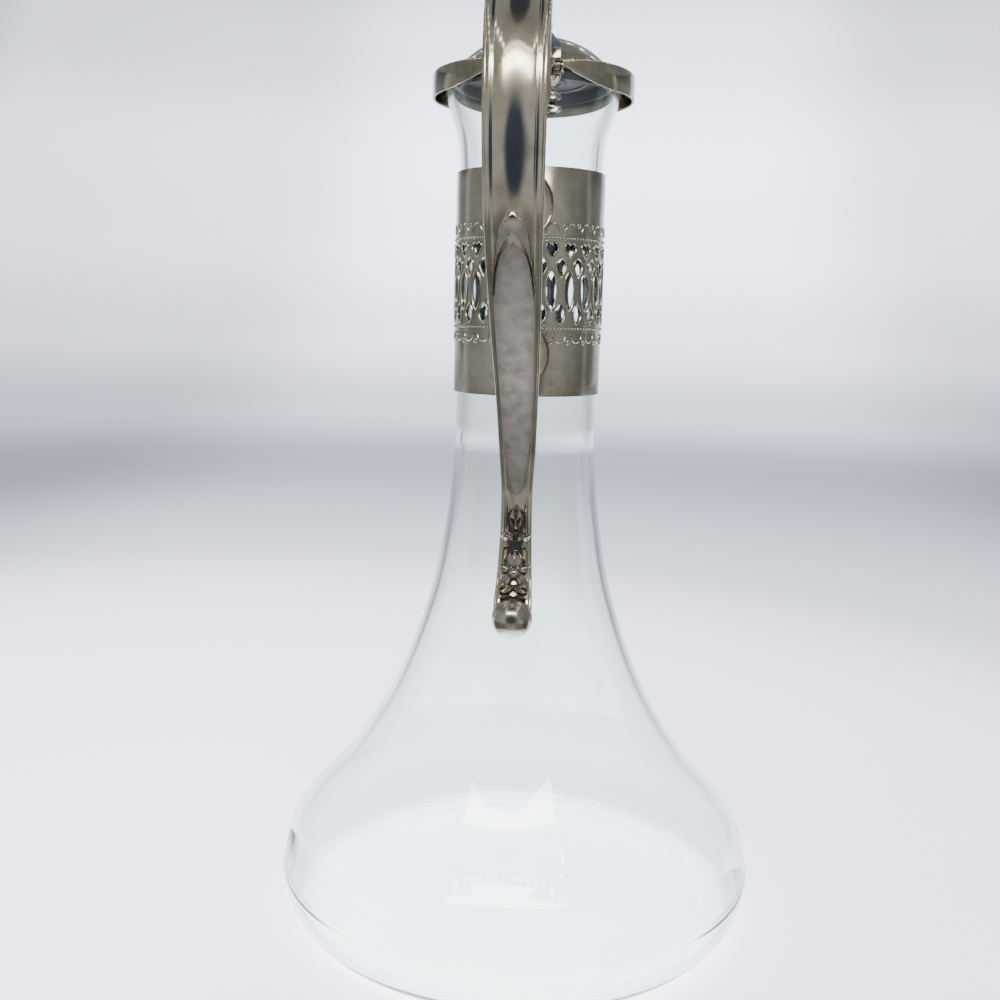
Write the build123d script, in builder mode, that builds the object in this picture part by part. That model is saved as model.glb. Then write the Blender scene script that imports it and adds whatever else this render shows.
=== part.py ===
from build123d import *
import os
from math import cos, radians, sin, sqrt

# Claret jug: a blown glass jug with a pierced and plated neck band, a cast S-shaped handle and a
# hinged lid. Millimetres, +Z up. The origin is the centre of the face that the jug stands on, and
# the handle and the hinge are on the -Y side. "Out" is the distance from the jug's axis.

# --- Glass ---------------------------------------------------------------------------------------
FOOT_INNER_RADIUS = 58.0  # the foot stands on a flat ring between these two radii
FOOT_RADIUS = 64.0
PUSH_UP = 1.6  # the middle of the foot is pushed up, clear of the table
PUSH_UP_RADIUS = 20.0  # and is flat out to here
PUSH_UP_SLOPE = (1, -0.08)  # the way that it comes down to the ring
BULGE_RADIUS = 74.6
BULGE_HEIGHT = 16.5
# Outside of the shoulder, from the bulge up to the neck: (radius, height)
SHOULDER = [(71.2, 28.8), (65.4, 36.4), (53.3, 50.0), (39.8, 71.8), (29.0, 100.0), (24.0, 124.0)]
SHOULDER_SLOPE = (-0.26, 1)  # the way that it runs at the last point but one
NECK_RADIUS = 21.2
NECK_BOTTOM = 165.0
NECK_TOP = 230.0
MOUTH_FLARE = [(21.9, 239.3), (24.8, 248.6)]  # outside, between the neck and the lip
MOUTH_RADIUS = 27.0
MOUTH_TOP = 256.2
MOUTH_SLOPE = (0.38, 1)  # the way that the mouth runs out into the lip
WALL = 1.9  # of the bulb, square to the outside
NECK_WALL = 2.2
FLOOR_THICKNESS = 3.4

# --- Neck band -----------------------------------------------------------------------------------
BAND_RADIUS = 22.2
BAND_THICKNESS = 0.6
BAND_BOTTOM = 165.3
BAND_HEIGHT = 64.5
REPEATS = 24  # of the pierced pattern round the neck
FIRST_HEART = 5.5  # degrees from the seam to the first heart
HEART_BOTTOM, HEART_TOP, HEART_WIDTH = 204.9, 208.9, 3.5
OVAL_BOTTOM, OVAL_TOP, OVAL_WIDTH = 190.0, 201.3, 3.3
UPPER_KITE = (199.9, 204.5)  # lowest and highest point
LOWER_KITE = (186.5, 191.8)
KITE_WIDTH = 2.5
SEAM_GAP = 0.5
SEAM_STRAP_WIDTH = 6.0
SEAM_STRAP_THICKNESS = 0.25
PACKING_HEIGHT = 9.0
PACKING_INSET = 1.0  # from the band's edge to its packing

# --- Handle --------------------------------------------------------------------------------------
# Outer face of the strap, from the inner end over the crook and down to the lower end:
# (out, height, width of the strap there)
STRAP_ROUTE = [
    (32.6, 242.5, 11.5),
    (35.6, 247.2, 13.8),
    (38.4, 252.4, 14.0),
    (40.2, 258.0, 13.6),
    (43.4, 264.0, 14.0),
    (48.4, 268.4, 14.6),
    (55.0, 270.3, 15.2),
    (62.0, 268.6, 15.8),
    (68.2, 263.0, 16.0),
    (72.2, 253.4, 15.9),
    (74.0, 241.2, 15.6),
    (73.7, 228.6, 15.3),
    (70.4, 214.8, 14.9),
    (64.8, 202.6, 14.3),
    (56.2, 189.6, 13.6),
    (47.0, 176.2, 12.7),
    (39.0, 163.4, 11.6),
    (33.6, 150.4, 10.6),
    (31.0, 138.0, 9.7),
    (31.2, 126.0, 9.6),
    (33.6, 115.6, 10.0),
    (37.2, 108.8, 10.9),
]
STRAP_THICKNESS = 3.4
BORDER_WIDTH = 1.3  # raised thread along each edge of the strap
GROOVE_DEPTH = 0.7
CROWN = 0.4  # how far the middle of the strap stands above its borders
SIDE_CHAMFER = 0.5
# Raised leaf on the outer strap: (station of the route, half its width there)
LEAF_SECTIONS = [(12, 0.9), (13, 4.6), (14, 6.0), (15, 5.6), (16, 4.6), (17, 3.0), (18, 0.9)]
LEAF_RISE = 0.6  # above the strap's crown
LEAF_ROOT = 1.5  # how deep the leaf is rooted in the strap
FLOWER_STATION = 20
FLOWER_RADIUS = 5.0
FLOWER_THICKNESS = 1.3
FLOWER_PETALS = 5
FLOWER_EYE_RADIUS = 1.9
BALL_RADIUS = 5.6
BALL_OUT, BALL_HEIGHT = 38.0, 103.6
INNER_BALL_RADIUS = 5.0
INNER_BALL_OUT, INNER_BALL_HEIGHT = 32.2, 238.7

# --- Legs, plates and screws that join the handle to the band ----------------------------------------
PLATE_HALF_WIDTH = 7.8
PLATE_HALF_HEIGHT = 9.5
PLATE_THICKNESS = 1.1
PLATE_RAISED_SHARE = 0.62  # of the plate's size that is raised in its middle
PLATE_RAISE = 0.7
UPPER_PLATE_HEIGHT = 219.0
LOWER_PLATE_HEIGHT = 177.5
UPPER_LEG_RADIUS = 2.4
UPPER_LEG_BEND = 6.0
LOWER_LEG_RADIUS = 2.9
LOWER_LEG_OUT = 45.6
SCREW_RADIUS = 1.0
SCREW_HEAD_RADIUS = 2.0
SCREW_HEAD_HEIGHT = 1.0
SCREW_LENGTH = 5.0
SCREW_SLOT_WIDTH = 0.5
SCREW_SLOT_DEPTH = 0.4

# --- Lid and hinge ---------------------------------------------------------------------------------
LID_RADIUS = 29.7
SKIRT_BOTTOM = 250.8
FLANGE_TOP = 258.0
SHOULDER_RADIUS = 1.0
LID_SHEET = 0.9
DOME_RADIUS = 24.0
DOME_TOP = 268.6
SKIRT_ARCH_HALF_WIDTH = 17.5  # the skirt arches up over the hinge, this far each side
SKIRT_ARCH_RISE = 6.0
LINER_THICKNESS = 0.7
LINER_RADIUS = 28.6
LINER_RING_RADII = [8.0, 15.0]
LINER_RING_WIDTH = 1.6
LINER_RING_DEPTH = 0.6
SPIGOT_RADIUS = 22.2
SPIGOT_WALL = 0.9
SPIGOT_DEPTH = 3.0
HINGE_OUT, HINGE_HEIGHT = 32.2, 254.1
KNUCKLE_RADIUS = 2.1
KNUCKLE_GAP = 0.15
PIN_RADIUS = 1.1
PIN_CLEARANCE = 0.05
PIN_HEAD_RADIUS = 1.8
PIN_HEAD_THICKNESS = 0.7
LUG_HALF_WIDTH = 3.3
LUG_REACH = 40.0
LUG_RISE = 0.9  # top of the lug's web above the hinge axis
HINGE_LEAF_HALF_WIDTH = 9.0
HINGE_LEAF_THICKNESS = 1.0
HINGE_LEAF_FRONT = 25.2
HINGE_LEAF_BACK = 33.0
THUMB_LEAN = 6.0  # degrees towards the lid
THUMB_THICKNESS = 1.2
# Right edge of the thumb plate, from its foot to its tip, as (half width, height over the pin);
# each pair after the first is the middle and the end of one arc, a bell and then the scallops
THUMB_EDGE = [
    ((7.6, 7.3), (5.9, 9.2)),
    ((6.5, 10.6), (5.2, 11.5)),
    ((4.9, 13.0), (3.0, 13.2)),
    ((2.2, 14.3), (0, 14.7)),
]
RIVET_RADIUS = 1.0
RIVET_HEAD_RADIUS = 1.8
RIVET_HEAD_HEIGHT = 0.8
RIVET_SPACING = 10.0
RIVET_OUT = 27.3


def inward(points, wall):
    """Profile points moved in by the wall, square to the line through their neighbours."""
    moved = []
    for before, here, after in zip(points, points[1:], points[2:]):
        along = (Vector(*after) - Vector(*before)).normalized()
        moved.append((here[0] - wall * along.Y, here[1] + wall * along.X))
    return moved


def toward(azimuth):
    """A vertical plane through the axis that faces out, at degrees from the seam towards +X."""
    angle = radians(azimuth)
    return Plane(
        origin=(0, 0, 0), x_dir=(cos(angle), sin(angle), 0), z_dir=(sin(angle), -cos(angle), 0)
    )


def dome_arc(radius, rise, base):
    """Half of a spherical cap's profile, from its top on the axis down to its edge."""
    sphere = (radius**2 + rise**2) / (2 * rise)
    half_way = radius / 2
    drop = sphere - sqrt(sphere**2 - half_way**2)
    return ThreePointArc((0, base + rise), (half_way, base + rise - drop), (radius, base))


# === Glass jug ====================================================================================
bulge = (BULGE_RADIUS, BULGE_HEIGHT)
neck_foot = (NECK_RADIUS, NECK_BOTTOM)
neck_head = (NECK_RADIUS, NECK_TOP)
lip_half = NECK_WALL / 2
lip_base = (MOUTH_RADIUS, MOUTH_TOP - lip_half)
lip_inside = (MOUTH_RADIUS - NECK_WALL, MOUTH_TOP - lip_half)
inside_shoulder = inward([bulge, *SHOULDER, neck_foot], WALL)
inside_flare = inward([neck_head, *MOUTH_FLARE, lip_base], NECK_WALL)
toe = BULGE_RADIUS - FOOT_RADIUS

with BuildPart() as glass_body:
    with BuildSketch(Plane.XZ):
        with BuildLine():
            # underneath: the pushed-up middle, then the flat ring that it stands on
            Line((0, PUSH_UP), (PUSH_UP_RADIUS, PUSH_UP))
            Spline(
                (PUSH_UP_RADIUS, PUSH_UP), (FOOT_INNER_RADIUS, 0),
                tangents=[(1, 0), PUSH_UP_SLOPE],
            )
            Line((FOOT_INNER_RADIUS, 0), (FOOT_RADIUS, 0))
            # outside, up to the mouth
            EllipticalCenterArc((FOOT_RADIUS, BULGE_HEIGHT), toe, BULGE_HEIGHT, 270, arc_size=90)
            Spline(bulge, *SHOULDER[:-1], tangents=[(0, 1), SHOULDER_SLOPE])
            Spline(*SHOULDER[-2:], neck_foot, tangents=[SHOULDER_SLOPE, (0, 1)])
            Line(neck_foot, neck_head)
            Spline(neck_head, *MOUTH_FLARE, lip_base, tangents=[(0, 1), MOUTH_SLOPE])
            ThreePointArc(lip_base, (MOUTH_RADIUS - lip_half, MOUTH_TOP), lip_inside)
            # inside, from the mouth down to the middle of the floor
            Spline(
                (NECK_RADIUS - NECK_WALL, NECK_TOP), *inside_flare, lip_inside,
                tangents=[(0, 1), MOUTH_SLOPE],
            )
            Line((NECK_RADIUS - NECK_WALL, NECK_BOTTOM), (NECK_RADIUS - NECK_WALL, NECK_TOP))
            Spline(
                *inside_shoulder[-2:], (NECK_RADIUS - NECK_WALL, NECK_BOTTOM),
                tangents=[SHOULDER_SLOPE, (0, 1)],
            )
            Spline(
                (BULGE_RADIUS - WALL, BULGE_HEIGHT), *inside_shoulder[:-1],
                tangents=[(0, 1), SHOULDER_SLOPE],
            )
            EllipticalCenterArc(
                (FOOT_RADIUS - WALL, BULGE_HEIGHT), toe, BULGE_HEIGHT - FLOOR_THICKNESS, 270,
                arc_size=90,
            )
            Spline(
                (PUSH_UP_RADIUS, PUSH_UP + FLOOR_THICKNESS), (FOOT_RADIUS - WALL, FLOOR_THICKNESS),
                tangents=[(1, 0), (1, 0)],
            )
            Line((0, PUSH_UP + FLOOR_THICKNESS), (PUSH_UP_RADIUS, PUSH_UP + FLOOR_THICKNESS))
            Line((0, PUSH_UP), (0, PUSH_UP + FLOOR_THICKNESS))
        make_face()
    revolve(axis=Axis.Z)
glass_body.part.label = "glass_body"

# === Handle casting =================================================================================
with BuildLine(Plane.YZ) as strap_line:
    Spline(*[(-out, height) for out, height, width in STRAP_ROUTE])
strap_route = strap_line.edge()


def strap_plane(station):
    """The plane square to the strap at a station of its route: x across, y out of its outer face."""
    out, height, width = STRAP_ROUTE[station]
    point = Vector(0, -out, height)
    along = strap_route.tangent_at(strap_route.param_at_point(point))
    return Plane(origin=point, x_dir=(1, 0, 0), z_dir=along)


def face_plane(station):
    """The plane that lies on the strap's outer face at a station: x across, y up the strap."""
    across = strap_plane(station)
    return Plane(origin=across.origin, x_dir=(-1, 0, 0), z_dir=across.y_dir)


with BuildPart() as handle_casting:
    # the strap: a flat back, a raised thread along each edge and a crowned middle
    for station, (out, height, width) in enumerate(STRAP_ROUTE):
        half = width / 2
        panel = half - BORDER_WIDTH
        groove = panel - GROOVE_DEPTH / 3
        with BuildSketch(strap_plane(station)):
            with BuildLine():
                Line((0, -STRAP_THICKNESS), (half, -STRAP_THICKNESS))
                Line((half, -STRAP_THICKNESS), (half, -SIDE_CHAMFER))
                Line((half, -SIDE_CHAMFER), (half - SIDE_CHAMFER, 0))
                Line((half - SIDE_CHAMFER, 0), (panel, 0))
                Line((panel, 0), (groove, -GROOVE_DEPTH))
                ThreePointArc((groove, -GROOVE_DEPTH), (panel * 0.6, CROWN / 2), (0, CROWN))
                mirror(about=Plane.YZ)
            make_face()
    loft()
    # the raised leaf down the outer strap
    for station, half in LEAF_SECTIONS:
        with BuildSketch(strap_plane(station)):
            with BuildLine():
                Line((0, -LEAF_ROOT), (half, -LEAF_ROOT))
                Line((half, -LEAF_ROOT), (half * 0.9, CROWN + LEAF_RISE * 0.5))
                Line((half * 0.9, CROWN + LEAF_RISE * 0.5), (0, CROWN + LEAF_RISE))
                mirror(about=Plane.YZ)
            make_face()
    loft(ruled=True)
    # a five-petalled flower with a round eye, above the lower end
    with BuildSketch(face_plane(FLOWER_STATION)):
        with PolarLocations(FLOWER_RADIUS / 2, FLOWER_PETALS, start_angle=90):
            Ellipse(FLOWER_RADIUS / 2, FLOWER_RADIUS / 4)
        Circle(FLOWER_EYE_RADIUS)
    extrude(amount=FLOWER_THICKNESS)
    with Locations(face_plane(FLOWER_STATION).offset(FLOWER_THICKNESS * 0.7)):
        Sphere(FLOWER_EYE_RADIUS * 0.9)
    # the round ends
    with Locations((0, -BALL_OUT, BALL_HEIGHT)):
        Sphere(BALL_RADIUS)
    with Locations((0, -INNER_BALL_OUT, INNER_BALL_HEIGHT)):
        Sphere(INNER_BALL_RADIUS)
handle_casting.part.label = "handle_casting"

# === Screws that hold the legs, from inside the band ================================================
screw_seat = BAND_RADIUS - BAND_THICKNESS - SEAM_STRAP_THICKNESS
screw_tip = screw_seat + SCREW_HEAD_HEIGHT + SCREW_LENGTH

with BuildPart() as mount_screws:
    for height in (UPPER_PLATE_HEIGHT, LOWER_PLATE_HEIGHT):
        with BuildSketch(Plane.XZ.offset(screw_seat)):
            with Locations((0, height)):
                Circle(SCREW_HEAD_RADIUS)
        extrude(amount=SCREW_HEAD_HEIGHT, taper=45)
        with BuildSketch(Plane.XZ.offset(screw_seat + SCREW_HEAD_HEIGHT)):
            with Locations((0, height)):
                Circle(SCREW_RADIUS)
        extrude(amount=SCREW_LENGTH)
        with BuildSketch(Plane.XZ.offset(screw_seat)):
            with Locations((0, height)):
                Rectangle(2 * SCREW_HEAD_RADIUS, SCREW_SLOT_WIDTH)
        extrude(amount=SCREW_SLOT_DEPTH, mode=Mode.SUBTRACT)
mount_screws.part.label = "mount_screws"

# the holes that the screws fill, without their slots
with BuildPart() as screw_holes:
    for height in (UPPER_PLATE_HEIGHT, LOWER_PLATE_HEIGHT):
        with BuildSketch(Plane.XZ.offset(screw_seat)):
            with Locations((0, height)):
                Circle(SCREW_HEAD_RADIUS)
        extrude(amount=SCREW_HEAD_HEIGHT, taper=45)
        with BuildSketch(Plane.XZ.offset(screw_seat)):
            with Locations((0, height)):
                Circle(SCREW_RADIUS)
        extrude(amount=screw_tip - screw_seat)

# === Neck band, its packing and the strap behind its seam ===========================================
band_top = BAND_BOTTOM + BAND_HEIGHT
band_inside = BAND_RADIUS - BAND_THICKNESS
pitch = 360 / REPEATS
half_heart = HEART_WIDTH / 2
half_kite = KITE_WIDTH / 2

with BuildPart() as collar_band:
    with BuildSketch(Plane.XY.offset(BAND_BOTTOM)):
        Circle(BAND_RADIUS)
        Circle(band_inside, mode=Mode.SUBTRACT)
        with Locations((0, -BAND_RADIUS)):
            Rectangle(SEAM_GAP, 4 * BAND_THICKNESS, mode=Mode.SUBTRACT)
    extrude(amount=BAND_HEIGHT)
    for repeat in range(REPEATS):
        heart_azimuth = FIRST_HEART + repeat * pitch
        with BuildSketch(toward(heart_azimuth).offset(band_inside - 2 * BAND_THICKNESS)):
            with BuildLine():  # a heart, point down
                shoulder = (half_heart, HEART_TOP - 0.9)
                Line((0, HEART_BOTTOM), (half_heart * 0.7, HEART_BOTTOM + 1.4))
                ThreePointArc(
                    (half_heart * 0.7, HEART_BOTTOM + 1.4), shoulder, (half_heart * 0.6, HEART_TOP)
                )
                Line((half_heart * 0.6, HEART_TOP), (0, HEART_TOP - 0.4))
                mirror(about=Plane.YZ)
            make_face()
            with BuildLine():  # a tall oval, pointed at both ends
                oval_side = (OVAL_WIDTH / 2, (OVAL_BOTTOM + OVAL_TOP) / 2)
                ThreePointArc((0, OVAL_BOTTOM), oval_side, (0, OVAL_TOP))
                mirror(about=Plane.YZ)
            make_face()
        extrude(amount=4 * BAND_THICKNESS, mode=Mode.SUBTRACT)
        with BuildSketch(toward(heart_azimuth + pitch / 2).offset(band_inside - 2 * BAND_THICKNESS)):
            for low, high in (UPPER_KITE, LOWER_KITE):
                with BuildLine():  # a kite, point down and round at the top
                    corner = (half_kite, low + 0.55 * (high - low))
                    Line((0, low), corner)
                    ThreePointArc(corner, (half_kite * 0.72, low + 0.82 * (high - low)), (0, high))
                    mirror(about=Plane.YZ)
                make_face()
        extrude(amount=4 * BAND_THICKNESS, mode=Mode.SUBTRACT)
    add(screw_holes.part, mode=Mode.SUBTRACT)
collar_band.part.label = "collar_band"

with BuildPart() as collar_seam_strap:
    with BuildSketch(Plane.XY.offset(BAND_BOTTOM + PACKING_INSET / 2)):
        Circle(band_inside)
        Circle(band_inside - SEAM_STRAP_THICKNESS, mode=Mode.SUBTRACT)
        with Locations((0, -band_inside)):
            Rectangle(SEAM_STRAP_WIDTH, 6 * BAND_THICKNESS, mode=Mode.INTERSECT)
    extrude(amount=BAND_HEIGHT - PACKING_INSET)
    add(screw_holes.part, mode=Mode.SUBTRACT)
collar_seam_strap.part.label = "collar_seam_strap"


def packing_ring(bottom):
    """A thin ring between glass and band, open where the seam strap is."""
    with BuildPart() as ring:
        with BuildSketch(Plane.XY.offset(bottom)):
            Circle(band_inside)
            Circle(NECK_RADIUS, mode=Mode.SUBTRACT)
            with Locations((0, -band_inside)):
                Rectangle(SEAM_STRAP_WIDTH + 2 * SEAM_GAP, 6 * BAND_THICKNESS, mode=Mode.SUBTRACT)
        extrude(amount=PACKING_HEIGHT)
    return ring


upper_packing_ring = packing_ring(band_top - PACKING_INSET - PACKING_HEIGHT)
upper_packing_ring.part.label = "upper_packing_ring"
lower_packing_ring = packing_ring(BAND_BOTTOM + PACKING_INSET)
lower_packing_ring.part.label = "lower_packing_ring"


# === Plates and legs between band and handle ========================================================
def mount_plate(height):
    """A pointed oval plate, curved to the band, with a raised middle."""
    with BuildPart() as plate:
        for share, rise in ((1.0, 0.0), (PLATE_RAISED_SHARE, PLATE_RAISE)):
            tip = PLATE_HALF_HEIGHT * share
            side = PLATE_HALF_WIDTH * share
            with BuildPart(mode=Mode.PRIVATE) as shell:
                with BuildSketch(Plane.XY.offset(height - tip)):
                    Circle(BAND_RADIUS + PLATE_THICKNESS + rise)
                    Circle(BAND_RADIUS, mode=Mode.SUBTRACT)
                extrude(amount=2 * tip)
                with BuildSketch(Plane.XZ.offset(BAND_RADIUS / 2)):
                    with BuildLine():
                        ThreePointArc((0, height - tip), (side, height), (0, height + tip))
                        mirror(about=Plane.YZ)
                    make_face()
                extrude(amount=BAND_RADIUS, mode=Mode.INTERSECT)
            add(shell.part)
        add(screw_holes.part, mode=Mode.SUBTRACT)
    return plate


upper_mount_plate = mount_plate(UPPER_PLATE_HEIGHT)
upper_mount_plate.part.label = "upper_mount_plate"
lower_mount_plate = mount_plate(LOWER_PLATE_HEIGHT)
lower_mount_plate.part.label = "lower_mount_plate"

with BuildPart() as upper_leg:
    with BuildLine(Plane.YZ):
        bend_start = -INNER_BALL_OUT + UPPER_LEG_BEND
        Line((-BAND_RADIUS, UPPER_PLATE_HEIGHT), (bend_start, UPPER_PLATE_HEIGHT))
        bend = JernArc((bend_start, UPPER_PLATE_HEIGHT), (-1, 0), UPPER_LEG_BEND, -90)
        Line(bend @ 1, (-INNER_BALL_OUT, INNER_BALL_HEIGHT))
    with BuildSketch(Plane(origin=(0, -BAND_RADIUS, UPPER_PLATE_HEIGHT), z_dir=(0, -1, 0))):
        Circle(UPPER_LEG_RADIUS)
    sweep()
    for other in (handle_casting, upper_mount_plate, collar_band, screw_holes):
        add(other.part, mode=Mode.SUBTRACT)
upper_leg.part.label = "upper_leg"

with BuildPart() as lower_leg:
    with BuildSketch(Plane.XZ.offset(BAND_RADIUS)):
        with Locations((0, LOWER_PLATE_HEIGHT)):
            Circle(LOWER_LEG_RADIUS)
    extrude(amount=LOWER_LEG_OUT - BAND_RADIUS)
    for other in (handle_casting, lower_mount_plate, collar_band, screw_holes):
        add(other.part, mode=Mode.SUBTRACT)
lower_leg.part.label = "lower_leg"

# === Hinge, still side ==============================================================================
# square to the hinge pin: x is out from the jug and y is up
hinge_axis = Plane(origin=(0, -HINGE_OUT, HINGE_HEIGHT), x_dir=(0, -1, 0), z_dir=(-1, 0, 0))

with BuildPart() as hinge_lug:
    with BuildSketch(hinge_axis):
        Circle(KNUCKLE_RADIUS)
        with BuildLine():
            Polyline(
                (0, -KNUCKLE_RADIUS), (LUG_REACH - HINGE_OUT, -KNUCKLE_RADIUS),
                (LUG_REACH - HINGE_OUT, LUG_RISE), (0, LUG_RISE), close=True,
            )
        make_face()
        Circle(PIN_RADIUS, mode=Mode.SUBTRACT)
    extrude(amount=LUG_HALF_WIDTH, both=True)
    add(handle_casting.part, mode=Mode.SUBTRACT)
hinge_lug.part.label = "hinge_lug"

with BuildPart() as hinge_pin:
    pin_half = HINGE_LEAF_HALF_WIDTH + KNUCKLE_GAP
    with BuildSketch(hinge_axis):
        Circle(PIN_RADIUS)
    extrude(amount=pin_half, both=True)
    for side in (1, -1):
        with BuildSketch(hinge_axis.offset(side * pin_half)):
            Circle(PIN_HEAD_RADIUS)
        extrude(amount=side * PIN_HEAD_THICKNESS)
hinge_pin.part.label = "hinge_pin"

# === Lid ============================================================================================
flange_underside = FLANGE_TOP - LID_SHEET
skirt_inside = LID_RADIUS - LID_SHEET


rivet_places = [(-RIVET_SPACING / 2, -RIVET_OUT), (RIVET_SPACING / 2, -RIVET_OUT)]

with BuildPart() as lid_rivets:
    with BuildSketch(Plane.XY.offset(flange_underside)):
        with Locations(*rivet_places):
            Circle(RIVET_RADIUS)
    extrude(amount=LID_SHEET + HINGE_LEAF_THICKNESS)
    with BuildSketch(Plane.XY.offset(FLANGE_TOP + HINGE_LEAF_THICKNESS)):
        with Locations(*rivet_places):
            Circle(RIVET_HEAD_RADIUS)
    extrude(amount=RIVET_HEAD_HEIGHT, taper=30)
lid_rivets.part.label = "lid_rivets"

with BuildPart() as lid_shell:
    with BuildSketch(Plane.XZ):
        with BuildLine():
            dome_arc(DOME_RADIUS, DOME_TOP - FLANGE_TOP, FLANGE_TOP)
            Line((DOME_RADIUS, FLANGE_TOP), (LID_RADIUS - SHOULDER_RADIUS, FLANGE_TOP))
            RadiusArc(
                (LID_RADIUS - SHOULDER_RADIUS, FLANGE_TOP),
                (LID_RADIUS, FLANGE_TOP - SHOULDER_RADIUS), SHOULDER_RADIUS,
            )
            Polyline(
                (LID_RADIUS, FLANGE_TOP - SHOULDER_RADIUS), (LID_RADIUS, SKIRT_BOTTOM),
                (skirt_inside, SKIRT_BOTTOM), (skirt_inside, flange_underside),
                (DOME_RADIUS - LID_SHEET, flange_underside),
            )
            dome_arc(DOME_RADIUS - LID_SHEET, DOME_TOP - FLANGE_TOP, flange_underside)
            Line((0, DOME_TOP - LID_SHEET), (0, DOME_TOP))
        make_face()
    revolve(axis=Axis.Z)
    with BuildSketch(Plane.XZ.offset(LID_RADIUS / 2)):  # the arch over the hinge
        with Locations((0, SKIRT_BOTTOM)):
            Ellipse(SKIRT_ARCH_HALF_WIDTH, SKIRT_ARCH_RISE)
    extrude(amount=LID_RADIUS, mode=Mode.SUBTRACT)
    add(lid_rivets.part, mode=Mode.SUBTRACT)
lid_shell.part.label = "lid_shell"

with BuildPart() as lid_liner:
    with BuildSketch(Plane.XY.offset(flange_underside - LINER_THICKNESS)):
        Circle(LINER_RADIUS)
    extrude(amount=LINER_THICKNESS)
    for radius in LINER_RING_RADII:
        with BuildSketch(Plane.XY.offset(flange_underside - LINER_THICKNESS)):
            Circle(radius + LINER_RING_WIDTH)
            Circle(radius, mode=Mode.SUBTRACT)
        extrude(amount=-LINER_RING_DEPTH)
    with BuildSketch(Plane.XY.offset(flange_underside - LINER_THICKNESS)):
        Circle(SPIGOT_RADIUS)
        Circle(SPIGOT_RADIUS - SPIGOT_WALL, mode=Mode.SUBTRACT)
    extrude(amount=-SPIGOT_DEPTH)
lid_liner.part.label = "lid_liner"

leaf_top = FLANGE_TOP + HINGE_LEAF_THICKNESS
with BuildPart() as lid_hinge_leaf:
    with BuildSketch(hinge_axis):  # the two arms and their knuckles
        Circle(KNUCKLE_RADIUS)
        with BuildLine():
            arm_front = LID_RADIUS + 2 * KNUCKLE_GAP - HINGE_OUT
            Polyline(
                (arm_front, 0), (arm_front, leaf_top - HINGE_HEIGHT),
                (HINGE_LEAF_BACK - HINGE_OUT, leaf_top - HINGE_HEIGHT),
                (HINGE_LEAF_BACK - HINGE_OUT, 0), close=True,
            )
        make_face()
        Circle(PIN_RADIUS + PIN_CLEARANCE, mode=Mode.SUBTRACT)
    extrude(amount=HINGE_LEAF_HALF_WIDTH, both=True)
    with BuildSketch(Plane.XY):  # room for the lug between them
        with Locations((0, -HINGE_OUT)):
            Rectangle(2 * (LUG_HALF_WIDTH + KNUCKLE_GAP), 4 * KNUCKLE_RADIUS)
    extrude(amount=FLANGE_TOP, mode=Mode.SUBTRACT)
    with BuildSketch(Plane.XY.offset(FLANGE_TOP)):  # the tab on the lid's flange
        with BuildLine():
            Line((0, -HINGE_LEAF_BACK), (HINGE_LEAF_HALF_WIDTH, -HINGE_LEAF_BACK))
            Line((HINGE_LEAF_HALF_WIDTH, -HINGE_LEAF_BACK), (HINGE_LEAF_HALF_WIDTH, -RIVET_OUT))
            Line((HINGE_LEAF_HALF_WIDTH, -RIVET_OUT), (RIVET_SPACING / 2, -HINGE_LEAF_FRONT))
            Line((RIVET_SPACING / 2, -HINGE_LEAF_FRONT), (0, -HINGE_LEAF_FRONT))
            mirror(about=Plane.YZ)
        make_face()
    extrude(amount=HINGE_LEAF_THICKNESS)
    add(lid_rivets.part, mode=Mode.SUBTRACT)
lid_hinge_leaf.part.label = "lid_hinge_leaf"

lean = radians(THUMB_LEAN)
thumb_plane = Plane(
    origin=(0, -HINGE_OUT, HINGE_HEIGHT), x_dir=(1, 0, 0), z_dir=(0, -cos(lean), sin(lean))
)
with BuildPart() as thumb_plate:
    with BuildSketch(thumb_plane):
        with BuildLine():  # a bell that narrows upwards and ends in five scallops
            foot = leaf_top - HINGE_HEIGHT - 2 * KNUCKLE_GAP
            corner = (HINGE_LEAF_HALF_WIDTH, foot)
            Line((0, foot), corner)
            for middle, end in THUMB_EDGE:
                ThreePointArc(corner, middle, end)
                corner = end
            mirror(about=Plane.YZ)
        make_face()
    extrude(amount=THUMB_THICKNESS / 2, both=True)
    add(lid_hinge_leaf.part, mode=Mode.SUBTRACT)
thumb_plate.part.label = "thumb_plate"

# === Files ==========================================================================================
PIECES = [
    glass_body, collar_band, collar_seam_strap, upper_packing_ring, lower_packing_ring,
    upper_mount_plate, lower_mount_plate, upper_leg, lower_leg, mount_screws, handle_casting,
    hinge_lug, hinge_pin, lid_shell, lid_liner, lid_hinge_leaf, thumb_plate, lid_rivets,
]
os.makedirs("parts", exist_ok=True)
for piece in PIECES:
    export_step(piece.part, f"parts/{piece.part.label}.step")
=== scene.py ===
from math import cos, exp, pi, radians, sin

import bmesh
import bpy
from bpy.props import FloatProperty, IntProperty, PointerProperty, StringProperty
from mathutils import Matrix, Vector
from mathutils.geometry import interpolate_bezier


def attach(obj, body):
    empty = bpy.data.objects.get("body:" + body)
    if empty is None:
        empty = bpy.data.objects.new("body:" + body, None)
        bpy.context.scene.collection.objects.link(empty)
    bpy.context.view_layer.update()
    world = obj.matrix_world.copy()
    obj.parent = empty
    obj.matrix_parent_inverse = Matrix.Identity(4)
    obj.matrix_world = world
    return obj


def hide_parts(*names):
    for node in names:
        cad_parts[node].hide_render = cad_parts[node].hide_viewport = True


# A claret jug: blown glass, a pierced and plated neck band, a cast S-shaped handle, a hinged lid.
# Everything is in metres in the frame's axes: +Z up, the handle and the hinge on the -Y side.
# Lists of sizes are in millimetres and go through MM. "Out" is the distance from the jug's axis.

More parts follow.
